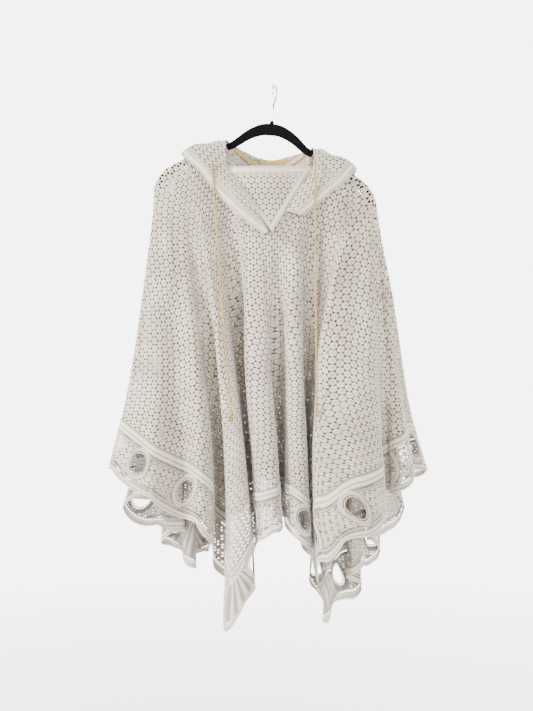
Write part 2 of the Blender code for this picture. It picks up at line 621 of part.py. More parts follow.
def make_border(name, number, collection):
    """One side's border: straight top, mitred ends, scalloped hem, eyelets cut through."""
    turn = [lambda a, d: (a, d - HALF), lambda a, d: (HALF - d, a),
            lambda a, d: (-a, HALF - d), lambda a, d: (d - HALF, -a)][number]
    pat = Pattern()
    w, side = support_of(COLUMNS)
    base, hem = support_flat(w, side), hem_flat(COLUMNS)
    axis = arr([turn(1, HALF), turn(0, HALF - 1)])
    base, hem = base @ axis.T, hem @ axis.T
    top = BORDER - SEAM / 2
    miss = SEAM * math.sqrt(2)

    def crossings(depth):
        """Where each ray crosses a line inside the hem, and which rays do."""
        k = (HALF - depth - base[:, 1]) / (hem[:, 1] - base[:, 1] + 1e-12)
        a = base[:, 0] + (hem[:, 0] - base[:, 0]) * k
        return a, (k > 0) & (k < 1.0001) & (np.abs(a) < HALF - depth - 4)

    centres = [(i - EYELET_COUNT // 2) * EYELET_PITCH for i in range(EYELET_COUNT)]
    marks = [k * EYELET_PITCH / 2 for k in range(-12, 13)]
    marks += [c + s * EYELET_PITCH * 0.36 for c in marks[::2] for s in (-1, 1)]
    free, fine = crossings(0.0)
    fine &= np.abs(free[:, None] - arr(marks)).min(axis=1) > 6
    foot = sorted(list(free[fine]) + [m for m in marks if abs(m) < HALF - 8])
    foot = arr([-HALF + miss] + foot + [HALF - miss])
    drop = scallop(foot)
    drop[[0, -1]] = 0.0
    high, good = crossings(top)
    ring = list(high[good]) + ([] if number % 2 == 0 else [
        float(side_line(HALF - top)) if number == 1 else -float(side_line(top - HALF))])
    ring = [-(HALF - top) + miss] + sorted(ring) + [HALF - top - miss]
    run = [(a, top) for a in ring] + [(a, d) for a, d in zip(foot[::-1], drop[::-1])]
    ends = [(s * (HALF - d - miss), d) for d in MITRE_ROWS for s in (-1, 1)]
    run = run[:len(ring)] + [ends[3], ends[1]] + run[len(ring):] + [ends[0], ends[2]]
    pat.line([turn(a, d) for a, d in run], closed=True)
    for c in centres:
        pat.line([turn(c + EYELET_R * math.cos(t), EYELET_DEPTH + EYELET_R * math.sin(t))
                  for t in (math.pi * (2 * k + 1) / EYELET_SIDES for k in range(EYELET_SIDES))],
                 closed=True)
    levels = [(high, good, top)] + [(*crossings(d), d) for d in BORDER_ROWS]
    levels.append((free, fine, None))
    for i in range(len(COLUMNS)):
        last = None
        for a, used, depth in levels:
            d = scallop(a[i]) if depth is None else depth
            here = (float(a[i]), float(d)) if used[i] else None
            if here and min(math.hypot(a[i] - c, d - EYELET_DEPTH)
                            for c in centres) < EYELET_R + EYELET_RIM:
                here = None
            if here:
                pat.point(*turn(*here))
                middle = last and ((here[0] + last[0]) / 2, (here[1] + last[1]) / 2)
                if last and min(math.hypot(middle[0] - c, middle[1] - EYELET_DEPTH)
                                for c in centres) > EYELET_R + EYELET_RIM:
                    pat.line([turn(*last), turn(*here)])
            last = here

    def keep(c):
        local = c @ axis.T
        a, d = local[:, 0], HALF - local[:, 1]
        out = d > np.interp(a, foot, drop)
        for x in centres:
            out &= np.hypot(a - x, d - EYELET_DEPTH) > EYELET_R * 0.96
        return out

    return cloth_from_flat(name, pat.points, pat.edges, keep, collection)


def grid_mesh(name, grid):
    """Mesh from rows of points."""
    grid = arr(grid)
    rows, cols = grid.shape[:2]
    faces = [(r * cols + c, (r + 1) * cols + c, (r + 1) * cols + c + 1, r * cols + c + 1)
             for r in range(rows - 1) for c in range(cols - 1)]
    mesh = bpy.data.meshes.new(name)
    mesh.from_pydata((grid.reshape(-1, 3) * MM).tolist(), [], faces)
    return mesh


def smooth(knots, at):
    """Even Catmull-Rom through the first axis of an array."""
    at = np.clip(at, 0, len(knots) - 1 - 1e-9)
    i = at.astype(int)
    t = (at - i).reshape((-1,) + (1,) * (knots.ndim - 1))
    pad = np.concatenate([[2 * knots[0] - knots[1]], knots, [2 * knots[-1] - knots[-2]]])
    a, b, c, d = (pad[i + n] for n in range(4))
    return b + 0.5 * t * (c - a + t * (2 * a - 5 * b + 4 * c - d + t * (3 * (b - c) + d - a)))


def hood_stations():
    def lapel(row, roll):
        seam, edge = arr(row[:3]), arr(row[3:])
        s = np.linspace(0, 1, 9)[:, None]
        line = seam + (edge - seam) * s
        push = roll * np.sin(math.pi * s[:, 0])
        over = np.clip((seam[2] + 175) / 60, 0, 1)
        line[:, 1] -= push * (1 - over)
        line[:, 2] += push * over
        return line
    rolls = [1.0, 4.0, LAPEL_ROLL, LAPEL_ROLL, LAPEL_ROLL, LAPEL_ROLL]
    left = [lapel(r, k) for r, k in zip(HOOD_FRONT_LEFT, rolls)]
    right = [lapel(r, k) for r, k in zip(HOOD_FRONT_RIGHT, rolls[::-1])]
    return arr(left + [arr(s) for s in HOOD_POUCH] + right)


def hood_surface(along, across):
    """Hood points over station numbers 0 to 16 and seam-to-edge numbers 0 to 8."""
    rows = smooth(hood_stations(), arr(along))
    return smooth(rows.transpose(1, 0, 2), arr(across)).transpose(1, 0, 2)


def make_hood(collection):
    grid = hood_surface(np.linspace(0, 15, 29), np.linspace(0, 8, 11))
    obj = add("hood", grid_mesh("hood", grid), LACE, collection)
    thicken(obj)


def make_inset(collection):
    left, right, foot = arr(INSET_LEFT), arr(INSET_RIGHT), arr(INSET_FOOT)
    grid = []
    for r in np.linspace(0, 1, 9):
        a, b = left + (foot - left) * r * 0.975, right + (foot - right) * r * 0.975
        s = np.linspace(0, 1, 9)[:, None]
        line = a + (b - a) * s
        line[:, 1] -= INSET_SAG * np.sin(math.pi * s[:, 0]) * (1 - r)
        grid.append(line)
    obj = add("neck_inset", grid_mesh("neck_inset", grid), LACE, collection)
    thicken(obj, 1.2)


def neck_run(t, inward, up):
    """Points beside the back neckline, t from -1 at the left arm to 1 at the right."""
    place = neck_world(NECK * t, t * 0 + 1)
    way = np.gradient(place[:, :2], axis=0)
    way /= np.hypot(*way.T)[:, None]
    return hang(place[:, 0] + inward * way[:, 1], place[:, 1] - inward * way[:, 0],
                place[:, 2] + up)


def make_tape(collection):
    reach = np.linspace(-0.76, 0.76, 19)
    grid = [neck_run(reach, 3.2, up) for up in (9.0, 0.0)]
    obj = add("neck_tape", grid_mesh("neck_tape", grid), GOLD, collection)
    thicken(obj, 1.2)
    reach = np.linspace(-0.2, 0.41, 8)
    grid = [neck_run(reach, 3.2, up) for up in (21.5, 9.6)]
    obj = add("neck_label", grid_mesh("neck_label", grid), GOLD, collection)
    thicken(obj, 1.0)


def tube(name, run, radius, look, collection, sides=2):
    curve = bpy.data.curves.new(name, "CURVE")
    curve.dimensions = "3D"
    curve.bevel_depth = radius * MM
    curve.bevel_resolution = sides
    curve.use_fill_caps = True
    spline = curve.splines.new("POLY")
    spline.points.add(len(run) - 1)
    for point, place in zip(spline.points, run):
        point.co = (*(arr(place) * MM), 1.0)
    obj = bpy.data.objects.new(name, curve)
    collection.objects.link(obj)
    curve.materials.append(material(name, *look))
    return obj


def cord_run(points, count=22):
    return smooth(arr(points), np.linspace(0, len(points) - 1, count))


def make_cord(side, points, collection):
    run = cord_run(points)
    tube(f"cord_{side}", run, CORD_D / 2, GOLD, collection, 1)
    way = (run[-1] - run[-2]) / np.linalg.norm(run[-1] - run[-2])
    turn = Vector(way).to_track_quat("Z", "Y").to_matrix()
    mesh = bpy.data.meshes.new(f"cord_tip_{side}")
    bm = bmesh.new()
    rings = []
    for d, r in TIP:
        ring = []
        for k in range(TIP_SIDES):
            t = 2 * math.pi * k / TIP_SIDES
            place = turn @ Vector((r * math.cos(t), r * math.sin(t), d + SEAM))
            ring.append(bm.verts.new((Vector(run[-1]) + place) * MM))
        rings.append(ring)
    for a, b in zip(rings, rings[1:]):
        for k in range(TIP_SIDES):
            j = (k + 1) % TIP_SIDES
            bm.faces.new((a[k], a[j], b[j], b[k]))
    bm.faces.new(rings[0][::-1])
    bm.faces.new(rings[-1])
    bmesh.ops.recalc_face_normals(bm, faces=bm.faces)
    bm.to_mesh(mesh)
    bm.free()
    add(f"cord_tip_{side}", mesh, ((0.70, 0.50, 0.24), 0.35, 1.0), collection)


def hanger_line():
    """Top line and height of the hanger, left end to right end."""
    half = [(h, up, height) for h, up, height in ARCH]
    half += [(h, up, ARM_HEIGHT) for h, up in ARM]
    return arr([(-h, up, height) for h, up, height in half[::-1]] + half[1:])


def make_hanger(collection):
    line = hanger_line()
    top = line[:, :2]
    way = np.gradient(top, axis=0)
    way /= np.hypot(*way.T)[:, None]
    inward = np.stack([way[:, 1], -way[:, 0]], -1)
    low = top + inward * line[:, 2:3]
    half = HANGER_THICK / 2
    mesh = bpy.data.meshes.new("hanger")
    bm = bmesh.new()
    shape = [(0.0, 0.3), (0.16, 1.0), (0.84, 1.0), (1.0, 0.3)]
    shape += [(s, -y) for s, y in shape[::-1]]
    rings = []
    for a, b in zip(top, low):
        ring = []
        for s, y in shape:
            q = a + (b - a) * s
            ring.append(bm.verts.new(hang(q[0], y * half, q[1]) * MM))
        rings.append(ring)
    n = len(shape)
    for a, b in zip(rings, rings[1:]):
        for k in range(n):
            bm.faces.new((a[k], a[(k + 1) % n], b[(k + 1) % n], b[k]))
    bm.faces.new(rings[0][::-1])
    bm.faces.new(rings[-1])
    bmesh.ops.recalc_face_normals(bm, faces=bm.faces)
    bm.to_mesh(mesh)
    bm.free()
    obj = add("hanger", mesh, ((0.01, 0.01, 0.012), 0.95), collection)
    neck = bpy.data.meshes.new("nub")
    bm = bmesh.new()
    low, high, tall = (v * MM for v in NUB_SIZE)
    bmesh.ops.create_cone(bm, cap_ends=True, segments=14, radius1=low, radius2=high, depth=tall)
    bm.to_mesh(neck)
    bm.free()
    cutter = bpy.data.objects.new("nub", neck)
    cutter.location = hang(0.0, 0.0, -NUB_SIZE[2] / 2) * MM
    cutter.rotation_euler = (0, TILT, 0)
    cutter.hide_render = True
    cutter.display_type = "WIRE"
    bpy.data.collections["cutters"].objects.link(cutter)
    join = obj.modifiers.new("nub", "BOOLEAN")
    join.operation = "UNION"
    join.solver = "EXACT"
    join.object = cutter


def make_hook(collection):
    dx, dy = math.cos(HOOK_TURN), math.sin(HOOK_TURN)
    run = SHANK + [(HOOK_R * math.cos(t), HOOK_RISE + HOOK_R * math.sin(t))
                   for t in np.radians(np.linspace(-33, 208, 18))]
    places = [hang(arr(q * dx), arr(q * dy), arr(up)) for q, up in run]
    tube("hook", places, WIRE_D / 2, ((0.75, 0.75, 0.76), 0.2, 1.0), collection)


def main():
    for obj in list(bpy.data.objects):
        bpy.data.objects.remove(obj)
    poncho = bpy.data.collections.new("lace_poncho_on_hanger")
    cutters = bpy.data.collections.new("cutters")
    for c in (poncho, cutters):
        bpy.context.scene.collection.children.link(c)
    make_body(poncho)
    for number, side in enumerate(("front", "right", "back", "left")):
        make_border(f"border_{side}", number, poncho)
    make_hood(poncho)
    make_inset(poncho)
    make_tape(poncho)
    make_cord("left", CORD_LEFT, poncho)
    make_cord("right", CORD_RIGHT, poncho)
    make_hanger(poncho)
    make_hook(poncho)


main()
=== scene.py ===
"""Looks of the hooded lace poncho on its velvet hanger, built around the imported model.

The lace is real openwork: round motifs on a hexagonal lattice, laid row by row on the hung cloth
at their true size, with corded borders, eyelets and casings on top. Lengths are in millimetres
until mesh_piece() turns them to metres, and the cloth is laid by the same rules as its solids.
"""

import math

import bpy
import numpy as np
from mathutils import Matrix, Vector


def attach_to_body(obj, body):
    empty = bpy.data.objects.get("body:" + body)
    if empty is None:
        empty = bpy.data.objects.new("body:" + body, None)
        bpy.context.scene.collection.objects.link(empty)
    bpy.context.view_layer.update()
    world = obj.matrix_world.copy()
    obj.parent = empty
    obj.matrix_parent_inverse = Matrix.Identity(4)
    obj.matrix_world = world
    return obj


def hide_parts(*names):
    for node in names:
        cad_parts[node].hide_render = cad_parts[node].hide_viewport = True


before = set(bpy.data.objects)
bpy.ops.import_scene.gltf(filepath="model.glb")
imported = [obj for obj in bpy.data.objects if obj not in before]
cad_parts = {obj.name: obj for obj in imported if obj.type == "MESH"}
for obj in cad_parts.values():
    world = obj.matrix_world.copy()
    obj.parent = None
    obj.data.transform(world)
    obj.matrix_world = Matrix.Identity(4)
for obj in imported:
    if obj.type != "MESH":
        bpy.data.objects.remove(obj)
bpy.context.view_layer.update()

MM = 0.001
SEAM = 0.3
SLIVER = 0.02  # smaller triangles, in square millimetres, are left out

# Flat cut of the poncho
HALF = 750.0
BORDER = 88.0
NECK = 100.0
V_DEPTH = 157.0
BACK_DEPTH = 25.0
TWIST = 50.0 / 177.0  # the square hangs turned: its shoulder line slopes this much across it
SHOULDER_V = -10.0  # where that line crosses the square's middle
LOOP = 8 * HALF  # length round the hem
HALVINGS = 44  # of the range that holds a flat point's ray

# Border: eyelets and the scalloped edge
EYELET_PITCH = 124.0
EYELET_COUNT = 11
EYELET_DEPTH = 45.0
SCALLOP = 9.0

# Hanger, in its own frame: across, up, from the nub below the hook. END is the place of its
# tips along the flat shoulder line, and WRAP_R the cloth's radius over its rounded top
NUB = (-8.0, 0.0, -72.0)
TILT = math.radians(5.0)
END = 264.0
WRAP_R = 5.4
WRAP = WRAP_R * math.pi / 2
LIFT_FRONT = 5.5
LIFT_BACK = 12.0
HANGER_THICK = 6.0
ARM = [(92, -55.5), (115, -66), (140, -78), (165, -92), (184, -103), (200, -115), (210, -128),
       (217, -144), (219, -152)]
ARCH = [(0, -5.5, 23.5), (20, -8, 22.5), (40, -17.5, 20), (55, -28.5, 17.5), (67, -39.5, 15.5),
        (78, -48.5, 14)]
ARM_HEIGHT = 12.5

# Neckline in the hanger's frame: the V's point and how far its sides swing, the back's lowest
# place, and where its ends roll over the arms
V_POINT = (16.0, -38.0, -226.0)
V_SWING = (6.0, -6.0, 10.0)
BACK_LOW = (48.0, -92.0)
NECK_SEAT = (90.8, -58.2)
ARM_SLOPE = (0.894, -0.447)
ROLL_FRONT, ROLL_BACK = 3.4, 11.0

# Fall of the folds: with FALL 1 the cloth would be straight from shoulder to hem. The folds are
# full from FULL of the way down, and above it they fade, by the power RISE, into the cloth
# averaged over SOFTEN. Beyond LATE along the shoulders they open later. PACE rounds their tips
FALL = 1.4
FULL = 0.68
SOFTEN = 110.0
PACE = 0.9
RISE = 1.4
LATE = 205.0
LATE_SPAN = 40.0

# Hem of the hung cloth, a row for each turn of a fold: along the flat side, then x, y, z where
# it hangs, the place on the shoulders it hangs from, and its sideways bow at half length
RIGHT_MID, LEFT_MID = -222, 202
HEM_FRONT = [
    (-750, -95, -168, -1044, -177, 30), (-667, -46, -158, -983, -160, 20),
    (-600, -43, -105, -970, -148, 14), (-520, -44, -20, -949, -130, 8),
    (-470, -45, 40, -936, -118, 4), (-440, -37, 70, -929, -110, 2),
    (-410, -28, 42, -914, -100, 0), (-340, -31, -30, -894, -80, 0),
    (-245, -36, -118, -886, -56, 0), (-222, -28, -138, -884, -50, 0),
    (-196, -10, -146, -878, -38, 0), (-172, 6, -138, -872, -26, 0),
    (-154, 10, -120, -865, -18, 0), (-76, 1, -44, -861, -8, 0),
    (2, -6, 34, -864, 2, 0), (28, 3, 58, -866, 6, 0),
    (54, 13, 34, -864, 12, 0), (134, 18, -44, -865, 24, 0),
    (208, 21, -114, -870, 34, 0), (228, 30, -133, -874, 38, 0),
    (250, 46, -140, -886, 46, 0), (272, 61, -132, -899, 56, -4),
    (288, 66, -114, -904, 60, -6), (372, 58, -38, -915, 76, -8),
    (452, 51, 38, -927, 96, -10), (482, 60, 68, -938, 106, -14),
    (512, 70, 40, -942, 118, -20), (600, 75, -20, -951, 140, -28),
    (690, 76, -64, -960, 160, -34),
]
HEM_RIGHT = [
    (-750, 80, -92, -969, 177, -38), (-690, 79, -140, -942, 184, -40),
    (-630, 84, -172, -916, 190, -38), (-605, 96, -184, -914, 193, -36),
    (-556, 134, -182, -883, 199, -20), (-496, 176, -160, -869, 210, -8),
    (-440, 204, -120, -856, 220.5, 0), (-380, 207, -60, -832, 232, 0),
    (-334, 208, -14, -818, 241, 0), (-308, 222, -6, -813, 246, 0),
    (-258, 224, -58, -805, 256.5, 0), (-236, 236, -74, -799, 261.5, 0),
    (-222, 249, -77, -795, 264, 0), (-205, 262, -70, -789, 263.5, 0),
    (-175, 270, -42, -774, 262.5, 0), (-140, 274, -8, -763, 261.5, 0),
    (-112, 292, 0, -765, 261, 0), (-85, 306, 24, -773, 260, 0),
    (-40, 300, 62, -785, 259, 0), (10, 268, 70, -787, 257.5, 0),
    (60, 226, 50, -791, 255, 0), (86, 220, 70, -798, 254, 0),
    (150, 262, 100, -842, 250, 0), (180, 266, 122, -881, 247.5, 0),
    (222, 230, 100, -905, 242, 0), (266, 200, 78, -911, 237, 0),
    (290, 188, 92, -924, 233.5, 0), (352, 214, 132, -941, 224.5, 0),
    (384, 218, 151, -961, 219, 0), (414, 204, 158, -983, 214, 0),
    (470, 176, 128, -990, 206.5, 0), (497, 160, 109, -993, 202.5, 0),
    (519, 147, 125, -1001, 200.5, 0), (558, 168, 150, -1026, 197, 0),
    (585, 182, 169, -1044, 194, 0), (602, 174, 180, -1055, 192, 0),
    (640, 147, 175, -1059, 188, 0), (690, 124, 148, -1071, 183, 0),
]
HEM_BACK = [
    (750, 103, 115, -1095, 177, 0), (690, 100, 172, -1069, 166, 0),
    (665, 90, 194, -1052, 161, 0), (640, 76, 178, -1029, 156, 0),
    (570, 76, 118, -964, 140, 0), (545, 67, 99, -946, 134, 0),
    (520, 58, 118, -939, 128, 0), (440, 58, 194, -923, 112, 0),
    (412, 47, 216, -916, 104, 0), (384, 34, 194, -904, 96, 0),
    (300, 34, 114, -882, 74, 0), (276, 24, 95, -875, 68, 0),
    (252, 14, 114, -873, 62, 0), (166, 12, 194, -869, 40, 0),
    (136, -2, 216, -868, 32, 0), (106, -16, 194, -863, 24, 0),
    (18, -16, 114, -853, 2, 0), (-7, -27, 95, -852, -4, 0),
    (-32, -38, 114, -855, -10, 0), (-120, -38, 194, -861, -34, 0),
    (-150, -52, 214, -863, -42, 0), (-180, -66, 194, -865, -50, 0),
    (-266, -66, 114, -865, -72, 0), (-291, -77, 97, -869, -78, 0),
    (-316, -88, 114, -873, -84, 0), (-402, -88, 192, -886, -106, 0),
    (-432, -102, 208, -893, -114, 0), (-462, -116, 190, -899, -122, 0),
    (-540, -116, 118, -918, -138, 0), (-566, -127, 102, -926, -142, 0),
    (-592, -138, 118, -937, -147, 0), (-640, -145, 163, -955, -155, 0),
    (-668, -156, 180, -963, -161, 0), (-690, -168, 168, -969, -165.5, 0),
]
HEM_LEFT = [
    (750, -172, 120, -981, -177, 0), (718, -192, 130, -973, -182, 0),
    (690, -199, 148, -961, -186, 0), (660, -215, 160, -949, -191.5, 0),
    (612, -240, 142, -932, -198, 0),
    (588, -230, 122, -923, -201.5, 0), (540, -192, 110, -908, -210, 0),
    (515, -186, 92, -897, -214, 0), (450, -236, 84, -898, -225.5, 0),
    (410, -270, 76, -891, -232, 0), (372, -300, 62, -868, -238.5, 0),
    (346, -308, 44, -847, -243.5, 0), (318, -294, 30, -838, -248.5, 0),
    (246, -228, 32, -820, -260, 0), (222, -216, 20, -808, -262.5, 0),
    (202, -226, 12, -802, -264, 0), (130, -298, 6, -779, -262.5, 0),
    (104, -308, -8, -771, -262, 0), (76, -296, -20, -766, -261.5, 0),
    (0, -226, -20, -758, -259.5, 0), (-26, -218, -36, -755, -259, 0),
    (-120, -304, -40, -754, -254, -6), (-152, -324, -50, -757, -250, -10),
    (-180, -322, -74, -763, -247.5, -10), (-222, -298, -100, -775, -242, -8),
    (-280, -262, -120, -797, -234.5, -4), (-330, -230, -132, -820, -227, 0),
    (-366, -202, -106, -837, -220.5, 2), (-392, -184, -94, -847, -216.5, 4),
    (-420, -166, -108, -854, -213, 8), (-466, -138, -140, -873, -205, 16),
    (-492, -124, -126, -890, -201.5, 20), (-546, -121, -80, -923, -196, 22),
    (-600, -121, -30, -957, -191, 24), (-624, -107, -8, -972, -188, 26),
    (-648, -93, -30, -980, -186, 28), (-700, -99, -96, -1006, -181, 30),
]

# Hood: nine points from the neck seam out to the opening edge at each station, V to V
HOOD_FRONT_LEFT = [  # seam x, y, z, then edge x, y, z of a lapel station
    (-15, -56, -297, -27, -55, -301), (-42, -49, -252, -71, -49, -267),
    (-69, -39, -209, -121, -40, -215), (-95, -28, -173, -152, -32, -174),
    (-99, -17, -130, -183, -17, -146), (-97, 5, -109, -187, 7, -137),
]
HOOD_POUCH = [
    [(-82, 27, -134), (-92, 32, -115), (-103, 37, -106), (-114, 43, -112), (-131, 50, -150),
     (-145, 56, -200), (-156, 63, -230), (-166, 62, -212), (-176, 46, -150)],
    [(-55, 43, -149), (-57, 52, -132), (-62, 61, -124), (-70, 70, -136), (-82, 80, -210),
     (-92, 93, -300), (-98, 108, -350), (-106, 120, -322), (-108, 112, -180)],
    [(-16, 52, -160), (-16, 59, -146), (-16, 67, -140), (-16, 78, -152), (-16, 88, -232),
     (-16, 101, -332), (-16, 118, -392), (-16, 134, -364), (-16, 128, -196)],
    [(24, 43, -156), (27, 52, -139), (32, 61, -132), (39, 70, -144), (50, 80, -220),
     (60, 93, -312), (65, 108, -362), (72, 120, -334), (76, 112, -192)],
    [(56, 27, -145), (68, 32, -129), (82, 37, -121), (93, 43, -128), (108, 50, -168),
     (120, 56, -220), (130, 63, -252), (140, 62, -236), (150, 46, -178)],
]
HOOD_FRONT_RIGHT = [
    (71, 5, -124.7, 160, 7, -167), (74, -17, -143.7, 154, -17, -174),
    (69, -28, -175, 132, -32, -199), (45, -39, -213, 98, -40, -227),
    (19, -49, -257, 53, -49, -265), (-4, -56, -297, 10, -55, -300),
]
# How far each lapel station bulges, from the V up: forward, and above ROLL_FROM over ROLL_SPAN
# more and more upward. The surface stops one station before the right lapel's last
LAPEL_ROLLS = [1.0, 4.0, 6.0, 6.0, 6.0, 6.0]
ROLL_FROM, ROLL_SPAN = -175.0, 60.0
HOOD_STOP = 15

# Inset behind the V, its two top corners and its foot
INSET_LEFT = (-112.0, -17.4, -165.5)
INSET_RIGHT = (74.0, -17.4, -164.0)
INSET_FOOT = (-9.5, -49.4, -290.0)
INSET_SAG = 10.0

# Drawstring: its two free ends, each from the hood's casing down to its tip
CORD_D = 3.8
CORD_LEFT = [(-125, -36, -162), (-124.5, -39, -172), (-123, -43, -190), (-121, -46, -220),
             (-117, -50, -270), (-112, -55, -340), (-106, -62, -420), (-99, -73, -500),
             (-92, -86, -580), (-86, -97, -650)]
CORD_RIGHT = [(76, -30.7, -153), (76, -37.7, -163), (76, -43.7, -182), (76, -47.7, -214),
              (76, -50.7, -260), (76, -54.7, -330), (76, -62.7, -410), (76, -74.7, -490),
              (76, -88.7, -570), (76, -98.7, -640)]

# Hook: its loop is seen nearly edge-on, and its top is at the origin
WIRE_D = 3.0
HOOK_TURN = math.radians(78.0)
HOOK_R = 17.5
HOOK_RISE = 73.6 - HOOK_R
SHANK = [(0, 0.6), (0, 14), (0, 24), (1.2, 30), (5.0, 35.5), (10.2, 41)]


def arr(points):
    """A table as an array of floats."""
    return np.array(points, float)


def hang(across, y, up):
    """Hanger frame to world."""
    c, s = math.cos(TILT), math.sin(TILT)
    return np.stack([NUB[0] + across * c + up * s, NUB[1] + y, NUB[2] - across * s + up * c], -1)


def cross(a, b):
    """Which way b turns from a, in the flat."""
    return a[:, 0] * b[:, 1] - a[:, 1] * b[:, 0]


def loop_rows():
    """All hem rows in order round the hem, with places along the shoulders unrolled."""
    rows = [(HALF + a, x, y, z, w, b) for a, x, y, z, w, b in HEM_FRONT]
    rows += [(3 * HALF + a, x, y, z, w if a <= RIGHT_MID else 2 * END - w, b)
             for a, x, y, z, w, b in HEM_RIGHT]
    rows += [(5 * HALF - a, x, y, z, 2 * END - w, b) for a, x, y, z, w, b in HEM_BACK]
    rows += [(7 * HALF - a, x, y, z, 2 * END - w if a >= LEFT_MID else 4 * END + w, b)
             for a, x, y, z, w, b in HEM_LEFT]
    return arr(sorted(rows))


ROWS = loop_rows()
SHIFT = arr([LOOP, 0, 0, 0, 4 * END, 0])
KNOTS = np.vstack([ROWS[-12:] - SHIFT, ROWS, ROWS[:12] + SHIFT])
if (np.diff(KNOTS[:, 0]) <= 0).any() or (np.diff(KNOTS[:, 4]) < 0).any():
    raise ValueError("the hem rows are out of order")


def brisk(way):
    """Lengthen slow tangents, so that the fold tips come out round."""
    return way * np.clip(PACE / np.hypot(way[:, 0], way[:, 1]), 1, 4)[:, None]


def hem_world(p):
    """Smooth curve through the hem rows."""
    p = p % LOOP
    k, x = KNOTS[:, 0], KNOTS[:, 1:4]
    i = np.clip(np.searchsorted(k, p, side="right") - 1, 1, len(k) - 3)
    p0, p1, p2, p3 = (k[i + n][:, None] for n in (-1, 0, 1, 2))
    x0, x1, x2, x3 = (x[i + n] for n in (-1, 0, 1, 2))
    h = p2 - p1
    m1 = brisk(((x1 - x0) / (p1 - p0) * h + (x2 - x1) / h * (p1 - p0)) / (p2 - p0))
    m2 = brisk(((x2 - x1) / h * (p3 - p2) + (x3 - x2) / (p3 - p2) * h) / (p3 - p1))
    t = (p[:, None] - p1) / h
    return ((2 * t**3 - 3 * t**2 + 1) * x1 + (t**3 - 2 * t**2 + t) * h * m1
            + (3 * t**2 - 2 * t**3) * x2 + (t**3 - t**2) * h * m2)


SOFT_AT = np.arange(0.0, LOOP, 10.0)
SOFT_WAY = np.exp(-0.5 * (np.arange(-400.0, 401.0, 10.0) / SOFTEN) ** 2)
SOFT_HEM = hem_world(SOFT_AT)
SOFT_HEM = np.stack([np.convolve(np.tile(c, 3), SOFT_WAY / SOFT_WAY.sum(), "same")
                     [len(c):2 * len(c)] for c in SOFT_HEM.T], -1)


def soft_hem(p):
    """The hem with its folds averaged away."""
    return np.stack([np.interp(p % LOOP, SOFT_AT, c, period=LOOP) for c in SOFT_HEM.T], -1)


def support_of(p):
    """Place along the shoulders a ray hangs from, and its side: -1 front, 1 back."""
    s = np.interp(p % LOOP, KNOTS[:, 0], KNOTS[:, 4])
    s = (s + END) % (4 * END) - END
    front = s <= END
    return np.where(front, s, 2 * END - s), np.where(front, -1.0, 1.0)


def hem_flat(p):
    """Flat place on the square's edge."""
    p = p % LOOP
    a = p % (2 * HALF) - HALF
    side = (p // (2 * HALF)).astype(int)
    u = np.choose(side, [a, a * 0 + HALF, -a, a * 0 - HALF])
    v = np.choose(side, [a * 0 - HALF, a, a * 0 + HALF, -a])
    return np.stack([u, v], -1)


def ridge(w):
    """Flat height of the shoulder line."""
    return SHOULDER_V - TWIST * w


def support_flat(w, side):
    """Flat place on the shoulder line, or on the neckline between the arms."""
    t = np.clip(1 - np.abs(w) / NECK, 0, 1)
    return np.stack([w, ridge(w) + np.where(side < 0, -V_DEPTH, BACK_DEPTH) * t], -1)


ARM_XY = arr(ARM)
ARM_AT = np.concatenate([[0.0], np.cumsum(np.hypot(*np.diff(ARM_XY, axis=0).T))])
ARM_WAY = np.gradient(ARM_XY, ARM_AT, axis=0)
ARM_WAY /= np.hypot(*ARM_WAY.T)[:, None]


def arm_frame(w):
    """Middle of the arm's rounded top and its outward normal, in the hanger frame."""
    sign = np.where(w < 0, -1.0, 1.0)
    at = np.clip(np.abs(w), NECK, END) - NECK
    point = np.stack([np.interp(at, ARM_AT, c) for c in ARM_XY.T], -1)
    way = np.stack([np.interp(at, ARM_AT, c) for c in ARM_WAY.T], -1)
    normal = np.stack([-way[:, 1], way[:, 0]], -1) / np.hypot(*way.T)[:, None]
    mirror = np.stack([sign, sign * 0 + 1], -1)
    return (point - normal * HANGER_THICK / 2) * mirror, normal * mirror


def lift(w, side):
    """How far the neckline has climbed the arm's top: 1 on it, 0 on its face."""
    reach = np.where(side < 0, LIFT_FRONT, LIFT_BACK)
    return np.clip((np.abs(w) - NECK + reach) / reach, 0, 1)


def neck_world(w, side):
    """Neckline, in the hanger frame: a V in front and a shallow curve behind."""
    sign = np.where(w < 0, -1.0, 1.0)
    front = side < 0
    t = np.clip(np.abs(w) / (NECK - np.where(front, LIFT_FRONT, LIFT_BACK)), 0, 1)
    roll = np.where(front, ROLL_FRONT, ROLL_BACK)
    h, up = NECK_SEAT[0] - ARM_SLOPE[0] * roll, NECK_SEAT[1] - ARM_SLOPE[1] * roll
    slide = lift(w, side) * roll
    swing = np.sin(math.pi * t)
    (x, y, z), (dx, dy, dz), (back, low) = V_POINT, V_SWING, BACK_LOW
    fore = np.stack([x + (sign * h - x) * t + sign * dx * swing,
                     y - (WRAP_R + y) * t + dy * swing, z + (up - z) * t + dz * swing], -1)
    aft = np.stack([sign * h * t, WRAP_R + (back - WRAP_R) * np.cos(t * math.pi / 2),
                    low + (up - low) * t ** 2], -1)
    out = np.where(front[:, None], fore, aft)
    out[:, 0] += sign * ARM_SLOPE[0] * slide
    out[:, 2] += ARM_SLOPE[1] * slide
    return out


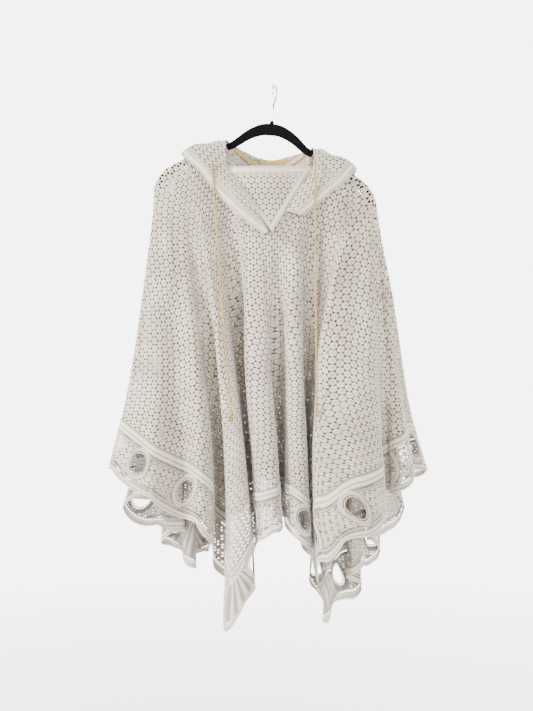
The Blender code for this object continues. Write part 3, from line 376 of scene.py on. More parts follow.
def over_arm(p):
    """How far each ray runs over the top of the arm, and what it needs there."""
    w, side = support_of(p)
    base, hem = support_flat(w, side), hem_flat(p)
    reach = np.hypot(*(hem - base).T)
    stretch = math.hypot(1, TWIST)
    along_arm = np.stack([np.sign(w + 1e-9), -TWIST * np.sign(w + 1e-9)], -1) / stretch
    way = (hem - base) / reach[:, None]
    c = (way * along_arm).sum(axis=1)
    sn = np.maximum(np.abs(cross(along_arm, way)), 1e-4)
    over = lift(w, side)
    room = np.where(c > 1e-6, (END - np.abs(w)) * stretch / np.maximum(c, 1e-6), 1e9)
    travel = np.minimum(over * WRAP / sn, room)
    return w, side, reach, over, travel, c / stretch, sn


def lay(p, along):
    """World place of the flat point `along` millimetres down the ray that ends at p."""
    w, side, reach, over, travel, c, sn = over_arm(p)
    gone = np.minimum(along, travel)
    a = np.maximum(over * math.pi / 2 - gone * sn / WRAP_R, 0)
    sign = np.where(w < 0, -1.0, 1.0)
    centre, normal = arm_frame(sign * (np.maximum(np.abs(w), NECK) + gone * c))
    neck = neck_world(w, side)
    across = neck[:, [0, 2]] + (centre - arm_frame(sign * NECK)[0]) * over[:, None]
    on_arm = np.abs(w) >= NECK
    lifted = np.where(on_arm[:, None], centre, across) + WRAP_R * np.sin(a)[:, None] * normal
    y = np.where(on_arm, side * WRAP_R, neck[:, 1]) + side * WRAP_R * (np.cos(a) - 1)
    start = hang(lifted[:, 0], y, lifted[:, 1])
    tau = (along - gone) / (reach - travel)
    late = np.clip((np.abs(w) - LATE) / LATE_SPAN, 0, 1)
    folded = (np.clip(tau / (FULL + (1 - FULL) * late), 0, 1) ** (RISE + late))[:, None]
    end, soft = hem_world(p), soft_hem(p)
    end[:, :2] = soft[:, :2] + (end - soft)[:, :2] * folded
    bow = np.interp(p % LOOP, KNOTS[:, 0], KNOTS[:, 5])
    out = start + (end - start) * tau[:, None]
    out[:, 0] += 4 * tau * (1 - tau) * bow
    out[:, 1] = start[:, 1] + (end[:, 1] - start[:, 1]) * tau ** FALL
    return out


def side_line(u):
    """Flat line from side to side, over both shoulders, that parts the front from the back."""
    return np.interp(u, [-HALF, -END, END, HALF],
                     [LEFT_MID, ridge(-END), ridge(END), RIGHT_MID])


def locate(flat):
    """The ray each flat point (u, v) is on, and how far down it."""
    q = arr(flat)
    front = q[:, 1] <= side_line(q[:, 0])
    lo = np.where(front, -HALF - LEFT_MID, 3 * HALF + RIGHT_MID)
    hi = np.where(front, 3 * HALF + RIGHT_MID, 7 * HALF - LEFT_MID)
    for _ in range(HALVINGS):
        p = (lo + hi) / 2
        base = support_flat(*support_of(p))
        left = cross(hem_flat(p) - base, q - base) > 0
        lo, hi = np.where(left, p, lo), np.where(left, hi, p)
    p = (lo + hi) / 2
    return p, np.hypot(*(q - support_flat(*support_of(p))).T)


def drape(flat):
    """Flat points to world, all in millimetres."""
    return lay(*locate(flat))


def scallop(a):
    """How far in the scalloped edge lies."""
    return SCALLOP * (1 - np.abs(np.cos(math.pi * a / EYELET_PITCH)))


def smooth(knots, at):
    """Even Catmull-Rom through the first axis of an array."""
    at = np.clip(at, 0, len(knots) - 1 - 1e-9)
    i = at.astype(int)
    t = (at - i).reshape((-1,) + (1,) * (knots.ndim - 1))
    pad = np.concatenate([[2 * knots[0] - knots[1]], knots, [2 * knots[-1] - knots[-2]]])
    a, b, c, d = (pad[i + n] for n in range(4))
    return b + 0.5 * t * (c - a + t * (2 * a - 5 * b + 4 * c - d + t * (3 * (b - c) + d - a)))


def hood_stations():
    """Nine points across the hood at each station, left V to right V."""
    def lapel(row, roll):
        """One station of a lapel, bulged by its roll."""
        seam, edge = arr(row[:3]), arr(row[3:])
        s = np.linspace(0, 1, 9)[:, None]
        line = seam + (edge - seam) * s
        push = roll * np.sin(math.pi * s[:, 0])
        over = np.clip((seam[2] - ROLL_FROM) / ROLL_SPAN, 0, 1)
        line[:, 1] -= push * (1 - over)
        line[:, 2] += push * over
        return line

    left = [lapel(r, k) for r, k in zip(HOOD_FRONT_LEFT, LAPEL_ROLLS)]
    right = [lapel(r, k) for r, k in zip(HOOD_FRONT_RIGHT, LAPEL_ROLLS[::-1])]
    return arr(left + [arr(s) for s in HOOD_POUCH] + right)


def hood_surface(along, across):
    """Hood points over station numbers 0 to 16 and seam-to-edge numbers 0 to 8."""
    rows = smooth(hood_stations(), arr(along))
    return smooth(rows.transpose(1, 0, 2), arr(across)).transpose(1, 0, 2)


def hanger_line():
    """Top line and height of the hanger, left end to right end."""
    half = [(h, up, height) for h, up, height in ARCH]
    half += [(h, up, ARM_HEIGHT) for h, up in ARM]
    return arr([(-h, up, height) for h, up, height in half[::-1]] + half[1:])


# Lace: round motifs that touch their six neighbours, with a small gap between each three
PITCH = 12.7
ROW = PITCH * math.sqrt(3) / 2
BRIDGE = 3.2
DISC_R = 5.72
RING_R, RING_H = 4.4, 1.0
BUTTON_H, EDGE_H = 0.25, 0.15
WHOLE = 4  # a motif is made where at least so many of its points are on the piece
# Points in the same cell are one. The offset keeps them off the cells' edges, and ROW_KEY is
# more than the cells in a row
CELL, CELL_OFFSET, ROW_KEY = 0.02, 0.137, 1000003
# Over the hanger's arms the lace is pulled open, and down the back it lies closer
ARM_SPAN, ARM_FROM, ARM_OPEN = 24.0, 105.0, 0.74
BACK_CLOSE = 1.21

# Colours of the finishes, and the photo's surroundings
LACE_LOW, LACE_HIGH = "#95897A", "#A99D8D"
BAND_LOW, BAND_HIGH = "#A09585", "#B1A797"
# Painted shade: the colour is kept at these shares between raised threads and between cords
PAINTED_HOLLOW_SHADE, PAINTED_GROOVE_SHADE = 0.22, 0.2  # how much light is left between raised threads and cords
TAPE_LOW, TAPE_HIGH = "#826629", "#947437"
CORD_LOW, CORD_HIGH = "#6E5212", "#84651F"
VELVET_LOW, VELVET_HIGH = "#020203", "#050507"
GILT, CHROME = "#7C5A1C", "#9A9CA0"
VELVET_SHEEN = "#4A4E5C"
FLOOR, FLOOR_Z, FLOOR_R = "#EDEDEB", -1.6, 6.0
FLOOR_FADE = (0.7, 3.2)  # metres from its middle
SURROUND = "#F4F4F2"
SURROUND_LIGHT = (6.9, 0.8)  # level with the eye, and far above or below
SURROUND_FADE = (0.29, 0.5)  # heights of a direction between which it changes
LIGHTS = [  # name, place, size, power
    ("key", (-2.7, -1.1, 0.9), 0.7, 430),
    ("fill", (0.7, -2.7, -0.2), 1.6, 100),
    ("rear", (1.2, 2.2, 1.0), 1.2, 200),
]
AIM = (0, 0, -0.5)
LENS, EYE = 58.7, (-0.019, -2.3, -0.537)

# Border details, as depths in from the hem
EDGE_ROWS = [(0.0, 0.6), (1.2, 1.9), (2.6, 1.5), (3.6, 0.5), (5.0, 1.2), (7.0, 1.8), (8.8, 1.4),
             (10.4, 0.5), (13.6, 0.5), (14.6, 1.5), (16.6, 0.2)]
EDGE_LADDER, EDGE_STEP = 7, 2.9
TOP_ROWS = [(66.4, 0.3), (67.8, 1.2), (69.2, 0.5), (71.8, 0.5), (73.2, 1.4), (75.6, 2.1),
            (77.8, 1.6), (79.0, 0.4), (80.2, 1.6), (82.4, 2.2), (85.4, 1.9), (87.4, 0.9),
            (89.6, 0.2)]
TOP_LADDER, TOP_STEP = 2, 2.1
RING_ROWS = [(18.2, 0.6), (18.9, 1.9), (19.8, 0.6), (22.3, 0.6), (23.3, 2.1), (24.5, 1.7),
             (25.5, 0.1), (26.6, 1.9), (27.8, 1.9), (28.8, 0.4), (30.6, 0.2)]
RING_LADDER, RING_SIDES = 2, 62
FIELD_TOP = 81.0  # motifs below it are the border's
SCALLOP_FADE = 40.0  # depth at which a row of the edge would run straight

# Where motifs give way to the border's bands. They start NET_FROM in from the edge, skip TOP_GAP,
# keep RING_CLEAR from an eyelet's middle and, above FIELD_TOP, end NET_END from the corner. Points
# over a band's small holes move to its TUCK. Those under a band, up to EDGE_UNDER and RING_UNDER
# and from TOP_UNDER on, are TUCK_H off the face
NET_FROM, TOP_GAP, RING_CLEAR, NET_END = 12.0, (71.5, 83.0), 22.6, 82.0
EDGE_TUCK, TOP_TUCK, RING_TUCK, TUCK_H = 14.4, 69.2, 22.9, -0.9
EDGE_UNDER, TOP_UNDER, RING_UNDER = 16.8, 66.2, 30.4

# Mitres: where they start along the side, how far motifs lap them, and their close work. Its ribs
# fan out from RIB_POINT inside the border's inner corner. For their painted shade the hollows count
# as raised by RIB_DARK, and the tops by RIB_LIGHT more
CORNER_FROM, CORNER_LAP, CORNER_UNDER = 640.0, 6.0, 80.0
CORNER_DEPTHS, CORNER_STEPS = (14.0, 68.0, 46), 90
RIBS, RIB_POINT, RIB_MID, RIB_H = 30, 8.0, 0.9, 0.8
RIB_DARK, RIB_LIGHT = 0.1, 0.7

# Hood and inset bands, as depths in from the opening edge, with the height of each row
CASING_ROWS = [(0.0, 0.8), (1.2, 1.9), (3.0, 1.5), (4.0, 0.7), (5.2, 1.6), (10.0, 2.3), (14.6, 1.6),
               (15.8, 0.7), (17.0, 1.6), (18.6, 1.5), (20.4, 0.3)]
INSET_HEM = [(0.0, 0.6), (0.9, 1.3), (2.0, 1.1), (2.8, 0.5), (4.0, 1.2), (9.0, 1.5), (13.0, 1.1),
             (14.0, 0.4), (15.0, 1.2), (16.2, 0.2)]
INSET_BAND = [(0.0, 0.6), (1.0, 1.4), (2.2, 1.2), (3.2, 0.5), (4.4, 1.3), (8.0, 1.6), (11.0, 1.2),
              (12.0, 0.4), (13.0, 1.3), (14.4, 0.2)]
# Steps along the casing, and how far past it, and past the inset's hem, the motifs start
CASING_STEP, CASING_CLEAR, INSET_CLEAR = 3.0, 2.0, 3.0
# The inset's foot runs on under the lapels by INSET_REACH of its height, to the point of the V,
# and its side bands run from INSET_FROM down to INSET_STOP of the height
INSET_REACH, INSET_FROM, INSET_STOP = 0.07, 2.0, 0.985
INSET_STEPS = (80, 60)  # across the hem, and down each side

# Cord and tips: rings and sides, the braid's lay, relief and sink, and down a tip its distance
# and radius: a rolled rim, a straight barrel and a rounded end
CORD_RINGS, CORD_SIDES, TIP_SIDES = 520, 20, 28
BRAID_LAY, BRAID_RELIEF, BRAID_SINK = 7.0, 0.2, 0.14
TIP_PROFILE = [(0.0, 0.2), (0.02, 2.1), (0.3, 2.5), (0.9, 2.55), (1.4, 2.3), (1.8, 2.2), (6.0, 2.2),
               (9.8, 2.15), (10.3, 2.35), (10.9, 2.35), (11.4, 2.1), (12.4, 1.75), (12.9, 1.2),
               (13.0, 0.1)]

# Hanger and hook: rings and sides, how square the arm's section is across and up, over how many
# rings its ends close and from how small a share of one, the nub's heights and radii, the degrees
# and rings of the hook's loop, and how its last rings narrow
ARM_RINGS, ARM_SIDES, WIRE_SIDES = 220, 28, 20
ARM_SQUARE, END_CLOSE, END_LEAST = (0.6, 0.55), 2.5, 0.02
NUB_PROFILE = [(-9.0, 0.1), (-9.0, 5.2), (-1.6, 3.6), (-0.5, 3.2), (0.0, 2.2), (0.0, 0.1)]
HOOK_ARC, HOOK_RINGS = (-33, 208), 90
WIRE_TIP = (0.95, 0.75, 0.1)


def linear(code):
    """sRGB hex value as a linear colour."""
    parts = [int(code[i:i + 2], 16) / 255 for i in (1, 3, 5)]
    return (*[c / 12.92 if c <= 0.04045 else ((c + 0.055) / 1.055) ** 2.4 for c in parts], 1.0)


def node(tree, kind, settings=None, links=None, **values):
    """Add a node with its properties, input values and links from other nodes' sockets."""
    made = tree.nodes.new(kind)
    for key, value in (settings or {}).items():
        setattr(made, key, value)
    for key, value in values.items():
        made.inputs[key.replace("_", " ")].default_value = value
    for key, socket in (links or {}).items():
        tree.links.new(socket, made.inputs[key])
    return made


def surface(name, rough, metal=0.0, sheen=0.0, sheen_rough=0.5, ior=1.5):
    """A material with its shader, and the object's own coordinates."""
    mat = bpy.data.materials.new(name)
    mat.use_nodes = True
    shader = mat.node_tree.nodes["Principled BSDF"]
    for key, value in (("Roughness", rough), ("Metallic", metal), ("Sheen Weight", sheen),
                       ("Sheen Roughness", sheen_rough), ("IOR", ior)):
        shader.inputs[key].default_value = value
    coords = node(mat.node_tree, "ShaderNodeTexCoord").outputs["Object"]
    return mat, mat.node_tree, shader, coords


def painted_thread_shade(tree, colour, least):
    """Painted shade: the colour darkened between the raised threads, by the height kept on the
    mesh.
    """
    raised = node(tree, "ShaderNodeAttribute", {"attribute_name": "raised"})
    shade = node(tree, "ShaderNodeMapRange", links={"Value": raised.outputs["Fac"]},
                 To_Min=least, To_Max=1.0)
    mixed = node(tree, "ShaderNodeVectorMath", {"operation": "SCALE"},
                 {"Vector": colour, "Scale": shade.outputs["Result"]})
    return mixed.outputs["Vector"]


def mottle(tree, coords, low, high, size_mm):
    """Soft change between two colours, over a patch of that size."""
    noise = node(tree, "ShaderNodeTexNoise", links={"Vector": coords}, Scale=1000 / size_mm,
                 Detail=3.0)
    ramp = node(tree, "ShaderNodeValToRGB", links={"Fac": noise.outputs["Fac"]})
    ramp.color_ramp.elements[0].position, ramp.color_ramp.elements[1].position = 0.35, 0.65
    ramp.color_ramp.elements[0].color, ramp.color_ramp.elements[1].color = linear(low), linear(high)
    return ramp.outputs["Color"]


def relief(tree, shader, height, strength, depth):
    """Small relief from a node's height, with its depth in metres."""
    bump = node(tree, "ShaderNodeBump", links={"Height": height}, Strength=strength,
                Distance=depth)
    tree.links.new(bump.outputs["Normal"], shader.inputs["Normal"])


def cotton_lace():
    """Guipure: mercerised cotton stitched thick, matte with a faint thread gloss."""
    mat, tree, shader, coords = surface("cotton_lace", 0.82, sheen=0.25)
    # painted shade between the raised threads
    colour = painted_thread_shade(tree, mottle(tree, coords, LACE_LOW, LACE_HIGH, 60), PAINTED_HOLLOW_SHADE)
    tree.links.new(colour, shader.inputs["Base Color"])
    # threads are 0.4 mm and are drawn 0.9 mm apart to show
    threads = node(tree, "ShaderNodeTexVoronoi", links={"Vector": coords}, Scale=1000 / 0.9)
    relief(tree, shader, threads.outputs["Distance"], 0.5, 0.0004)
    return mat


def cotton_band():
    """Border cords and casings: the same cotton in close parallel stitches."""
    mat, tree, shader, coords = surface("cotton_band", 0.78, sheen=0.25)
    # painted shade in the grooves between the cords
    colour = painted_thread_shade(tree, mottle(tree, coords, BAND_LOW, BAND_HIGH, 45), PAINTED_GROOVE_SHADE)
    tree.links.new(colour, shader.inputs["Base Color"])
    # close stitches, drawn 1.1 mm apart to show
    stitches = node(tree, "ShaderNodeTexNoise", links={"Vector": coords}, Scale=1000 / 1.1,
                    Detail=1.0)
    relief(tree, shader, stitches.outputs["Fac"], 0.45, 0.0004)
    return mat


def satin_tape():
    """Neck tape and label: woven satin with a soft warm gloss over shallow ribs."""
    mat, tree, shader, coords = surface("satin_tape", 0.6, sheen=0.2)
    tree.links.new(mottle(tree, coords, TAPE_LOW, TAPE_HIGH, 18), shader.inputs["Base Color"])
    # the wave texture draws 20 / (2 pi) ribs in its own unit, so they lie 8.8 mm apart
    ribs = node(tree, "ShaderNodeTexWave", {"bands_direction": "Z"}, {"Vector": coords},
                Scale=1000 / 1.4 / 20, Distortion=0.4)
    relief(tree, shader, ribs.outputs["Fac"], 0.4, 0.0002)
    return mat


def cotton_cord():
    """Drawstring: round braided cotton, its strands are modelled, and fibres roughen them."""
    mat, tree, shader, coords = surface("braided_cord", 0.62, sheen=0.3)
    tree.links.new(mottle(tree, coords, CORD_LOW, CORD_HIGH, 6), shader.inputs["Base Color"])
    fibres = node(tree, "ShaderNodeTexNoise", links={"Vector": coords}, Scale=1000 / 0.5)
    relief(tree, shader, fibres.outputs["Fac"], 0.3, 0.0002)
    return mat


def velvet_flock():
    """Hanger: plastic flocked with short fibres, near black, paler at grazing angles."""
    mat, tree, shader, coords = surface("velvet_flock", 1.0, sheen=0.06, sheen_rough=0.4, ior=1.15)
    tree.links.new(mottle(tree, coords, VELVET_LOW, VELVET_HIGH, 5), shader.inputs["Base Color"])
    shader.inputs["Sheen Tint"].default_value = linear(VELVET_SHEEN)
    # flock fibres are 0.5 mm long
    pile = node(tree, "ShaderNodeTexNoise", links={"Vector": coords}, Scale=1000 / 0.5, Detail=2.0)
    relief(tree, shader, pile.outputs["Fac"], 0.6, 0.0005)
    return mat


def handled_metal(name, colour, rough, size_mm, least, most):
    """Metal whose roughness changes between two levels over patches of that size."""
    mat, tree, shader, coords = surface(name, rough, metal=1.0)
    shader.inputs["Base Color"].default_value = linear(colour)
    marks = node(tree, "ShaderNodeTexNoise", links={"Vector": coords}, Scale=1000 / size_mm)
    worn = node(tree, "ShaderNodeMapRange", links={"Value": marks.outputs["Fac"]}, To_Min=least,
                To_Max=most)
    tree.links.new(worn.outputs["Result"], shader.inputs["Roughness"])
    return mat


def gilt_metal():
    """Cord tips: thin gilt brass, rolled and polished, with handling marks."""
    return handled_metal("gilt_brass", GILT, 0.28, 2.0, 0.2, 0.42)


def chromed_wire():
    """Hook: drawn steel wire, chromed, with faint drawing marks."""
    return handled_metal("chromed_wire", CHROME, 0.18, 3.0, 0.12, 0.3)


def mesh_piece(name, parts, mat, replaces=()):
    """Object from (points in mm, triangles, heights) parts, slivers left out."""
    points, triangles, raised, count = [], [], [], 0
    for place, tri, *rise in parts:
        points.append(place)
        triangles.append(tri + count)
        raised.append(rise[0] if rise else np.ones(len(place)))
        count += len(place)
    points, triangles = np.vstack(points), np.vstack(triangles)
    a, b, c = (points[triangles[:, i]] for i in range(3))
    area = np.linalg.norm(np.cross(b - a, c - a), axis=1) / 2
    triangles = triangles[area > SLIVER]
    used = np.unique(triangles)
    number = np.zeros(len(points), int)
    number[used] = range(len(used))
    mesh = bpy.data.meshes.new(name)
    mesh.from_pydata((points[used] * MM).tolist(), [], number[triangles].tolist())
    mesh.shade_smooth()
    # heights that the painted shade between raised threads is drawn from
    heights = mesh.attributes.new("raised", "FLOAT", "POINT")
    heights.data.foreach_set("value", np.clip(np.concatenate(raised)[used], 0, 1))
    mesh.materials.append(mat)
    return attach(bpy.data.objects.new(name, mesh), replaces)


def attach(obj, replaces):
    """Link a piece, put it on the root body, and hide the solids it stands for."""
    if obj.name not in bpy.context.scene.collection.objects:
        bpy.context.scene.collection.objects.link(obj)
    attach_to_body(obj, "root")
    if replaces:
        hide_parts(*replaces)
    return obj


def motif():
    """One motif: points about its centre, their heights, and its triangles.

    The outline has two points at each bridge to a neighbour and one at each gap, 0 to 17. Inside
    it are a raised ring, 18 to 29, and a button, 30.
    """
    points, rise, tri = [], [], []
    for k in range(6):
        t = k * math.pi / 3
        c, s = math.cos(t), math.sin(t)
        for edge in (-BRIDGE / 2, BRIDGE / 2):
            points.append((PITCH / 2 * c - edge * s, PITCH / 2 * s + edge * c))
            rise.append(0.0)
        points.append((DISC_R * math.cos(t + math.pi / 6), DISC_R * math.sin(t + math.pi / 6)))
        rise.append(EDGE_H)
    for k in range(12):
        t = k * math.pi / 6
        points.append((RING_R * math.cos(t), RING_R * math.sin(t)))
        rise.append(RING_H)
    points.append((0.0, 0.0))
    rise.append(BUTTON_H)
    for k in range(6):
        b0, b1, b2, b3 = 3 * k, 3 * k + 1, 3 * k + 2, (3 * k + 3) % 18
        r0, r1, r2 = 18 + 2 * k, 19 + 2 * k, 18 + (2 * k + 2) % 12
        tri += [(b0, b1, r0), (r0, b1, r1), (b1, b2, r1), (b2, b3, r1), (r1, b3, r2)]
        tri += [(r0, r1, 30), (r1, r2, 30)]
    return arr(points), arr(rise), np.array(tri)


MOTIF, MOTIF_RISE, MOTIF_TRI = motif()
MOTIF_GAPS = np.isclose(np.hypot(*MOTIF.T), DISC_R)  # which of its points are at gaps


def motifs_over(low, high, start, stop):
    """Centres of motifs over a range of s and of depth."""
    centres = []
    for j, depth in enumerate(np.arange(start, stop, ROW)):
        first = math.ceil(low / PITCH) - 1
        s = (np.arange(first, math.ceil(high / PITCH) + 1) + 0.5 * (j % 2)) * PITCH
        centres.append(np.stack([s, s * 0 + depth], -1))
    return np.vstack(centres)


def joined(points):
    """Merge points that are in the same place: which to keep, and each point's number."""
    cell = np.floor(points / CELL + CELL_OFFSET).astype(np.int64)
    _, first, number = np.unique(cell[:, 0] * ROW_KEY + cell[:, 1], return_index=True,
                                 return_inverse=True)
    return first, number.reshape(-1)


def net_part(centres, inside, place):
    """Motifs with enough points inside a piece, laid on it by its own place function."""
    points = (centres[:, None] + MOTIF[None]).reshape(-1, 2)
    first, number = joined(points)
    s, t = points[first].T
    number = number.reshape(len(centres), -1)
    number = number[inside(s, t)[number].sum(axis=1) >= WHOLE]
    rise = np.tile(MOTIF_RISE, len(centres))[first]
    return place(s, t, rise), number[:, MOTIF_TRI].reshape(-1, 3)[:, ::-1], rise / RING_H


def band(place, along, rows, ladder=None, flip=False):
    """Quads between rows at given depths, with every other one left out in the ladder row."""
    count = len(along)
    points = np.vstack([place(along, along * 0 + depth, rise) for depth, rise in rows])
    heights = np.repeat([rise for _, rise in rows], count)
    low, high = heights.min(), heights.max()
    tri = []
    for r in range(len(rows) - 1):
        for c in range(count - 1):
            if r == ladder and c % 2:
                continue
            a, b = r * count + c, (r + 1) * count + c
            tri += [(a, a + 1, b + 1), (a, b + 1, b)]
    tri = np.array(tri)
    return points, tri[:, ::-1] if flip else tri, (heights - low) / (high - low)


# Soft folds that run up from the deep ones: place on the hem that a fold points to at its start
# and at its end, start and end down the cloth as shares, width along the hem, and height
CREASES = [
    (20, 5, 0.03, 0.76, 24, 9.0), (380, 265, 0.05, 0.68, 60, -13.0),
    (545, 455, 0.10, 0.82, 32, 9.0), (665, 640, 0.04, 0.46, 22, -3.5),
    (790, 775, 0.04, 0.66, 52, -11.5), (880, 905, 0.06, 0.52, 20, 3.0),
    (992, 972, 0.02, 0.66, 36, 9.5), (1120, 1165, 0.05, 0.58, 26, -4.0),
    (1260, 1400, 0.06, 0.68, 46, -12.0), (1330, 1352, 0.03, 0.34, 18, 3.4),
    (1640, 1560, 0.05, 0.62, 30, 9.0), (1712, 1695, 0.08, 0.66, 24, -5.0),
    (1790, 1775, 0.06, 0.74, 28, 7.0), (1880, 1905, 0.16, 0.60, 18, -3.0),
    (2000, 2010, 0.02, 0.84, 20, -10.0), (2130, 2160, 0.03, 0.80, 24, 8.0),
    (2290, 2265, 0.10, 0.66, 26, -5.5), (2430, 2440, 0.08, 0.70, 34, 7.0),
    (2560, 2535, 0.12, 0.62, 28, -6.5), (2664, 2680, 0.06, 0.64, 30, 6.0),
    (2800, 2830, 0.14, 0.66, 24, -4.5), (3085, 3090, 0.08, 0.62, 34, 7.5),
    (3215, 3200, 0.05, 0.66, 42, -9.5), (3345, 3338, 0.10, 0.68, 36, 8.0),
    (3465, 3480, 0.06, 0.60, 40, -8.5), (3620, 3612, 0.08, 0.70, 34, 7.0),
    (3750, 3762, 0.04, 0.64, 44, -10.0), (3905, 3896, 0.10, 0.66, 32, 8.5),
    (4050, 4036, 0.06, 0.62, 40, -8.0), (4178, 4186, 0.08, 0.68, 34, 7.5),
    (4320, 4312, 0.05, 0.64, 38, -9.0), (4420, 4430, 0.12, 0.60, 28, 6.0),
    (4640, 4660, 0.10, 0.62, 28, -5.5), (4780, 4770, 0.08, 0.66, 30, 6.5),
    (4905, 4912, 0.06, 0.72, 26, -6.0), (5050, 5030, 0.10, 0.64, 26, 5.0),
    (5160, 5150, 0.05, 0.70, 28, -6.5), (5300, 5325, 0.08, 0.60, 24, 5.5),
    (5480, 5470, 0.24, 0.86, 26, -7.0), (5610, 5640, 0.04, 0.52, 30, 7.0),
    (5700, 5712, 0.22, 0.84, 24, 4.0), (5785, 5805, 0.06, 0.82, 50, -10.0),
    (5885, 5870, 0.10, 0.46, 16, 3.2),
]


def crease(p, share):
    """Height that the soft folds add on a ray and share of its length."""
    out = np.zeros(len(p))
    for first, last, start, stop, width, high in CREASES:
        t = np.clip((share - start) / (stop - start), 0, 1)
        off = (p - first - (last - first) * t + LOOP / 2) % LOOP - LOOP / 2
        out += high * np.sin(math.pi * t) ** 2 * np.exp(-0.5 * (off / width) ** 2)
    return out


def laid(p, along, rise):
    """Places on the hung cloth, raised off its face."""
    step = 0.5
    down = lay(p, along + step) - lay(p, np.maximum(along - step, 0))
    n = np.cross(down, lay(p + step, along) - lay(p - step, along))
    n /= np.linalg.norm(n, axis=1)[:, None]
    w, side = support_of(p)
    reach = np.hypot(*(hem_flat(p) - support_flat(w, side)).T)
    return lay(p, along) + n * (rise + crease(p % LOOP, along / reach))[:, None]


def signed(flat):
    """Ray of each flat point and its distance down it, below zero inside the neckline."""
    p, _ = locate(flat)
    base = support_flat(*support_of(p))
    way = hem_flat(p) - base
    return p, ((flat - base) * way).sum(axis=1) / np.hypot(*way.T)


def blend(near, far, share):
    """Share of the way from one to the other."""
    return near * (1 - share) + far * share


class Side:
    """One side of the square: a along its hem, b in from it, s the cloth's length along a row."""

    STEP, GRAIN, PLACES = 8.0, 4.0, 300  # between rows, between lengths, and places on a row
    PAST_MIDDLE = (64.0, -150.0)  # front and back reach past the middle, the others stop short
    NECK_RIM, NECK_PACE = 2.0, 0.75  # lengths over the neck hole are set to this share of the flat
    MOST_PACE, SMOOTHINGS = 1.1, 3  # and elsewhere held to this share, then evened out

    def __init__(self, number):
        self.number = number
        self.top = HALF + self.PAST_MIDDLE[number % 2]
        self.b = np.arange(0.0, self.top, self.STEP)
        self.a = np.linspace(-HALF + 1, HALF - 1, self.PLACES)
        a, b = np.meshgrid(self.a, self.b)
        flat = self.flat(a.ravel(), b.ravel())
        rows = drape(flat).reshape(len(self.b), -1, 3)
        pace = np.linalg.norm(np.diff(rows, axis=1), axis=2)
        hole = (signed(flat)[1] < self.NECK_RIM).reshape(len(self.b), -1)
        step = self.a[1] - self.a[0]
        pace = np.where(hole[:, 1:] | hole[:, :-1], self.NECK_PACE * step,
                        np.minimum(pace, self.MOST_PACE * step))
        length = np.hstack([pace[:, :1] * 0, np.cumsum(pace, axis=1)])
        length -= length[:, [len(self.a) // 2]]
        for _ in range(self.SMOOTHINGS):
            length[1:-1] = (length[:-2] + length[1:-1] * 2 + length[2:]) / 4
        self.low, self.high = length.min(), length.max()
        self.s = np.arange(self.low, self.high, self.GRAIN)
        self.table = np.vstack([np.interp(self.s, row, self.a) for row in length])

    def flat(self, a, b):
        """Place on the whole square."""
        u, v = [(a, b - HALF), (HALF - b, a), (-a, HALF - b), (b - HALF, -a)][self.number]
        return np.stack([u, v], -1)

    def along(self, s, b):
        """Flat distance along the hem of a length along the cloth's row."""
        i = np.clip(b / self.STEP, 0, len(self.b) - 1.001)
        j = np.clip((s - self.low) / self.GRAIN, 0, len(self.s) - 1.001)
        i0, j0 = i.astype(int), j.astype(int)
        f, g = i - i0, j - j0
        low = blend(self.table[i0, j0], self.table[i0, j0 + 1], g)
        high = blend(self.table[i0 + 1, j0], self.table[i0 + 1, j0 + 1], g)
        return blend(low, high, f)

    def rays(self, flat):
        """Ray and distance of flat points, held inside this side's share, and which were in it."""
        flat = flat.copy()
        line = side_line(flat[:, 0])
        if self.number == 0:
            inside = flat[:, 1] <= line
            flat[:, 1] = np.minimum(flat[:, 1], line)
        elif self.number == 2:
            inside = flat[:, 1] >= line
            flat[:, 1] = np.maximum(flat[:, 1], line + 1e-6)
        else:
            inside = np.ones(len(flat), bool)
        p, along = signed(flat)
        if self.number == 3:
            p = np.where(p < LOOP / 2, p + LOOP, p)
        start = 2 * HALF * self.number
        inside &= (p >= start) & (p <= start + 2 * HALF) & (along >= 0)
        return np.clip(p, start, start + 2 * HALF), np.maximum(along, 0), inside

    def front(self, p):
        """Which rays hang in front of the shoulders and sides."""
        p = p % LOOP
        return (p <= 3 * HALF + RIGHT_MID) | (p >= 7 * HALF - LEFT_MID)

    def place(self, a, d, rise):
        """Border place at a along the hem and d in from it, kept within the mitres."""
        end = HALF - d
        flat = self.flat(np.clip(a, -end, end), d)
        p, along = locate(flat)
        return laid(p, along, rise)


EYELETS = [(i - EYELET_COUNT // 2) * EYELET_PITCH for i in range(EYELET_COUNT)]


def reaches(side, centres):
    """How far out each motif reaches between its neighbours, as a share."""
    flat = side.flat(side.along(*centres.T), centres[:, 1])
    at_arm = np.abs(flat[:, 1] - side_line(flat[:, 0])) < ARM_SPAN
    at_arm &= np.abs(flat[:, 0]) > ARM_FROM
    return np.where(at_arm, ARM_OPEN, np.where(side.front(signed(flat)[0]), 1.0, BACK_CLOSE))


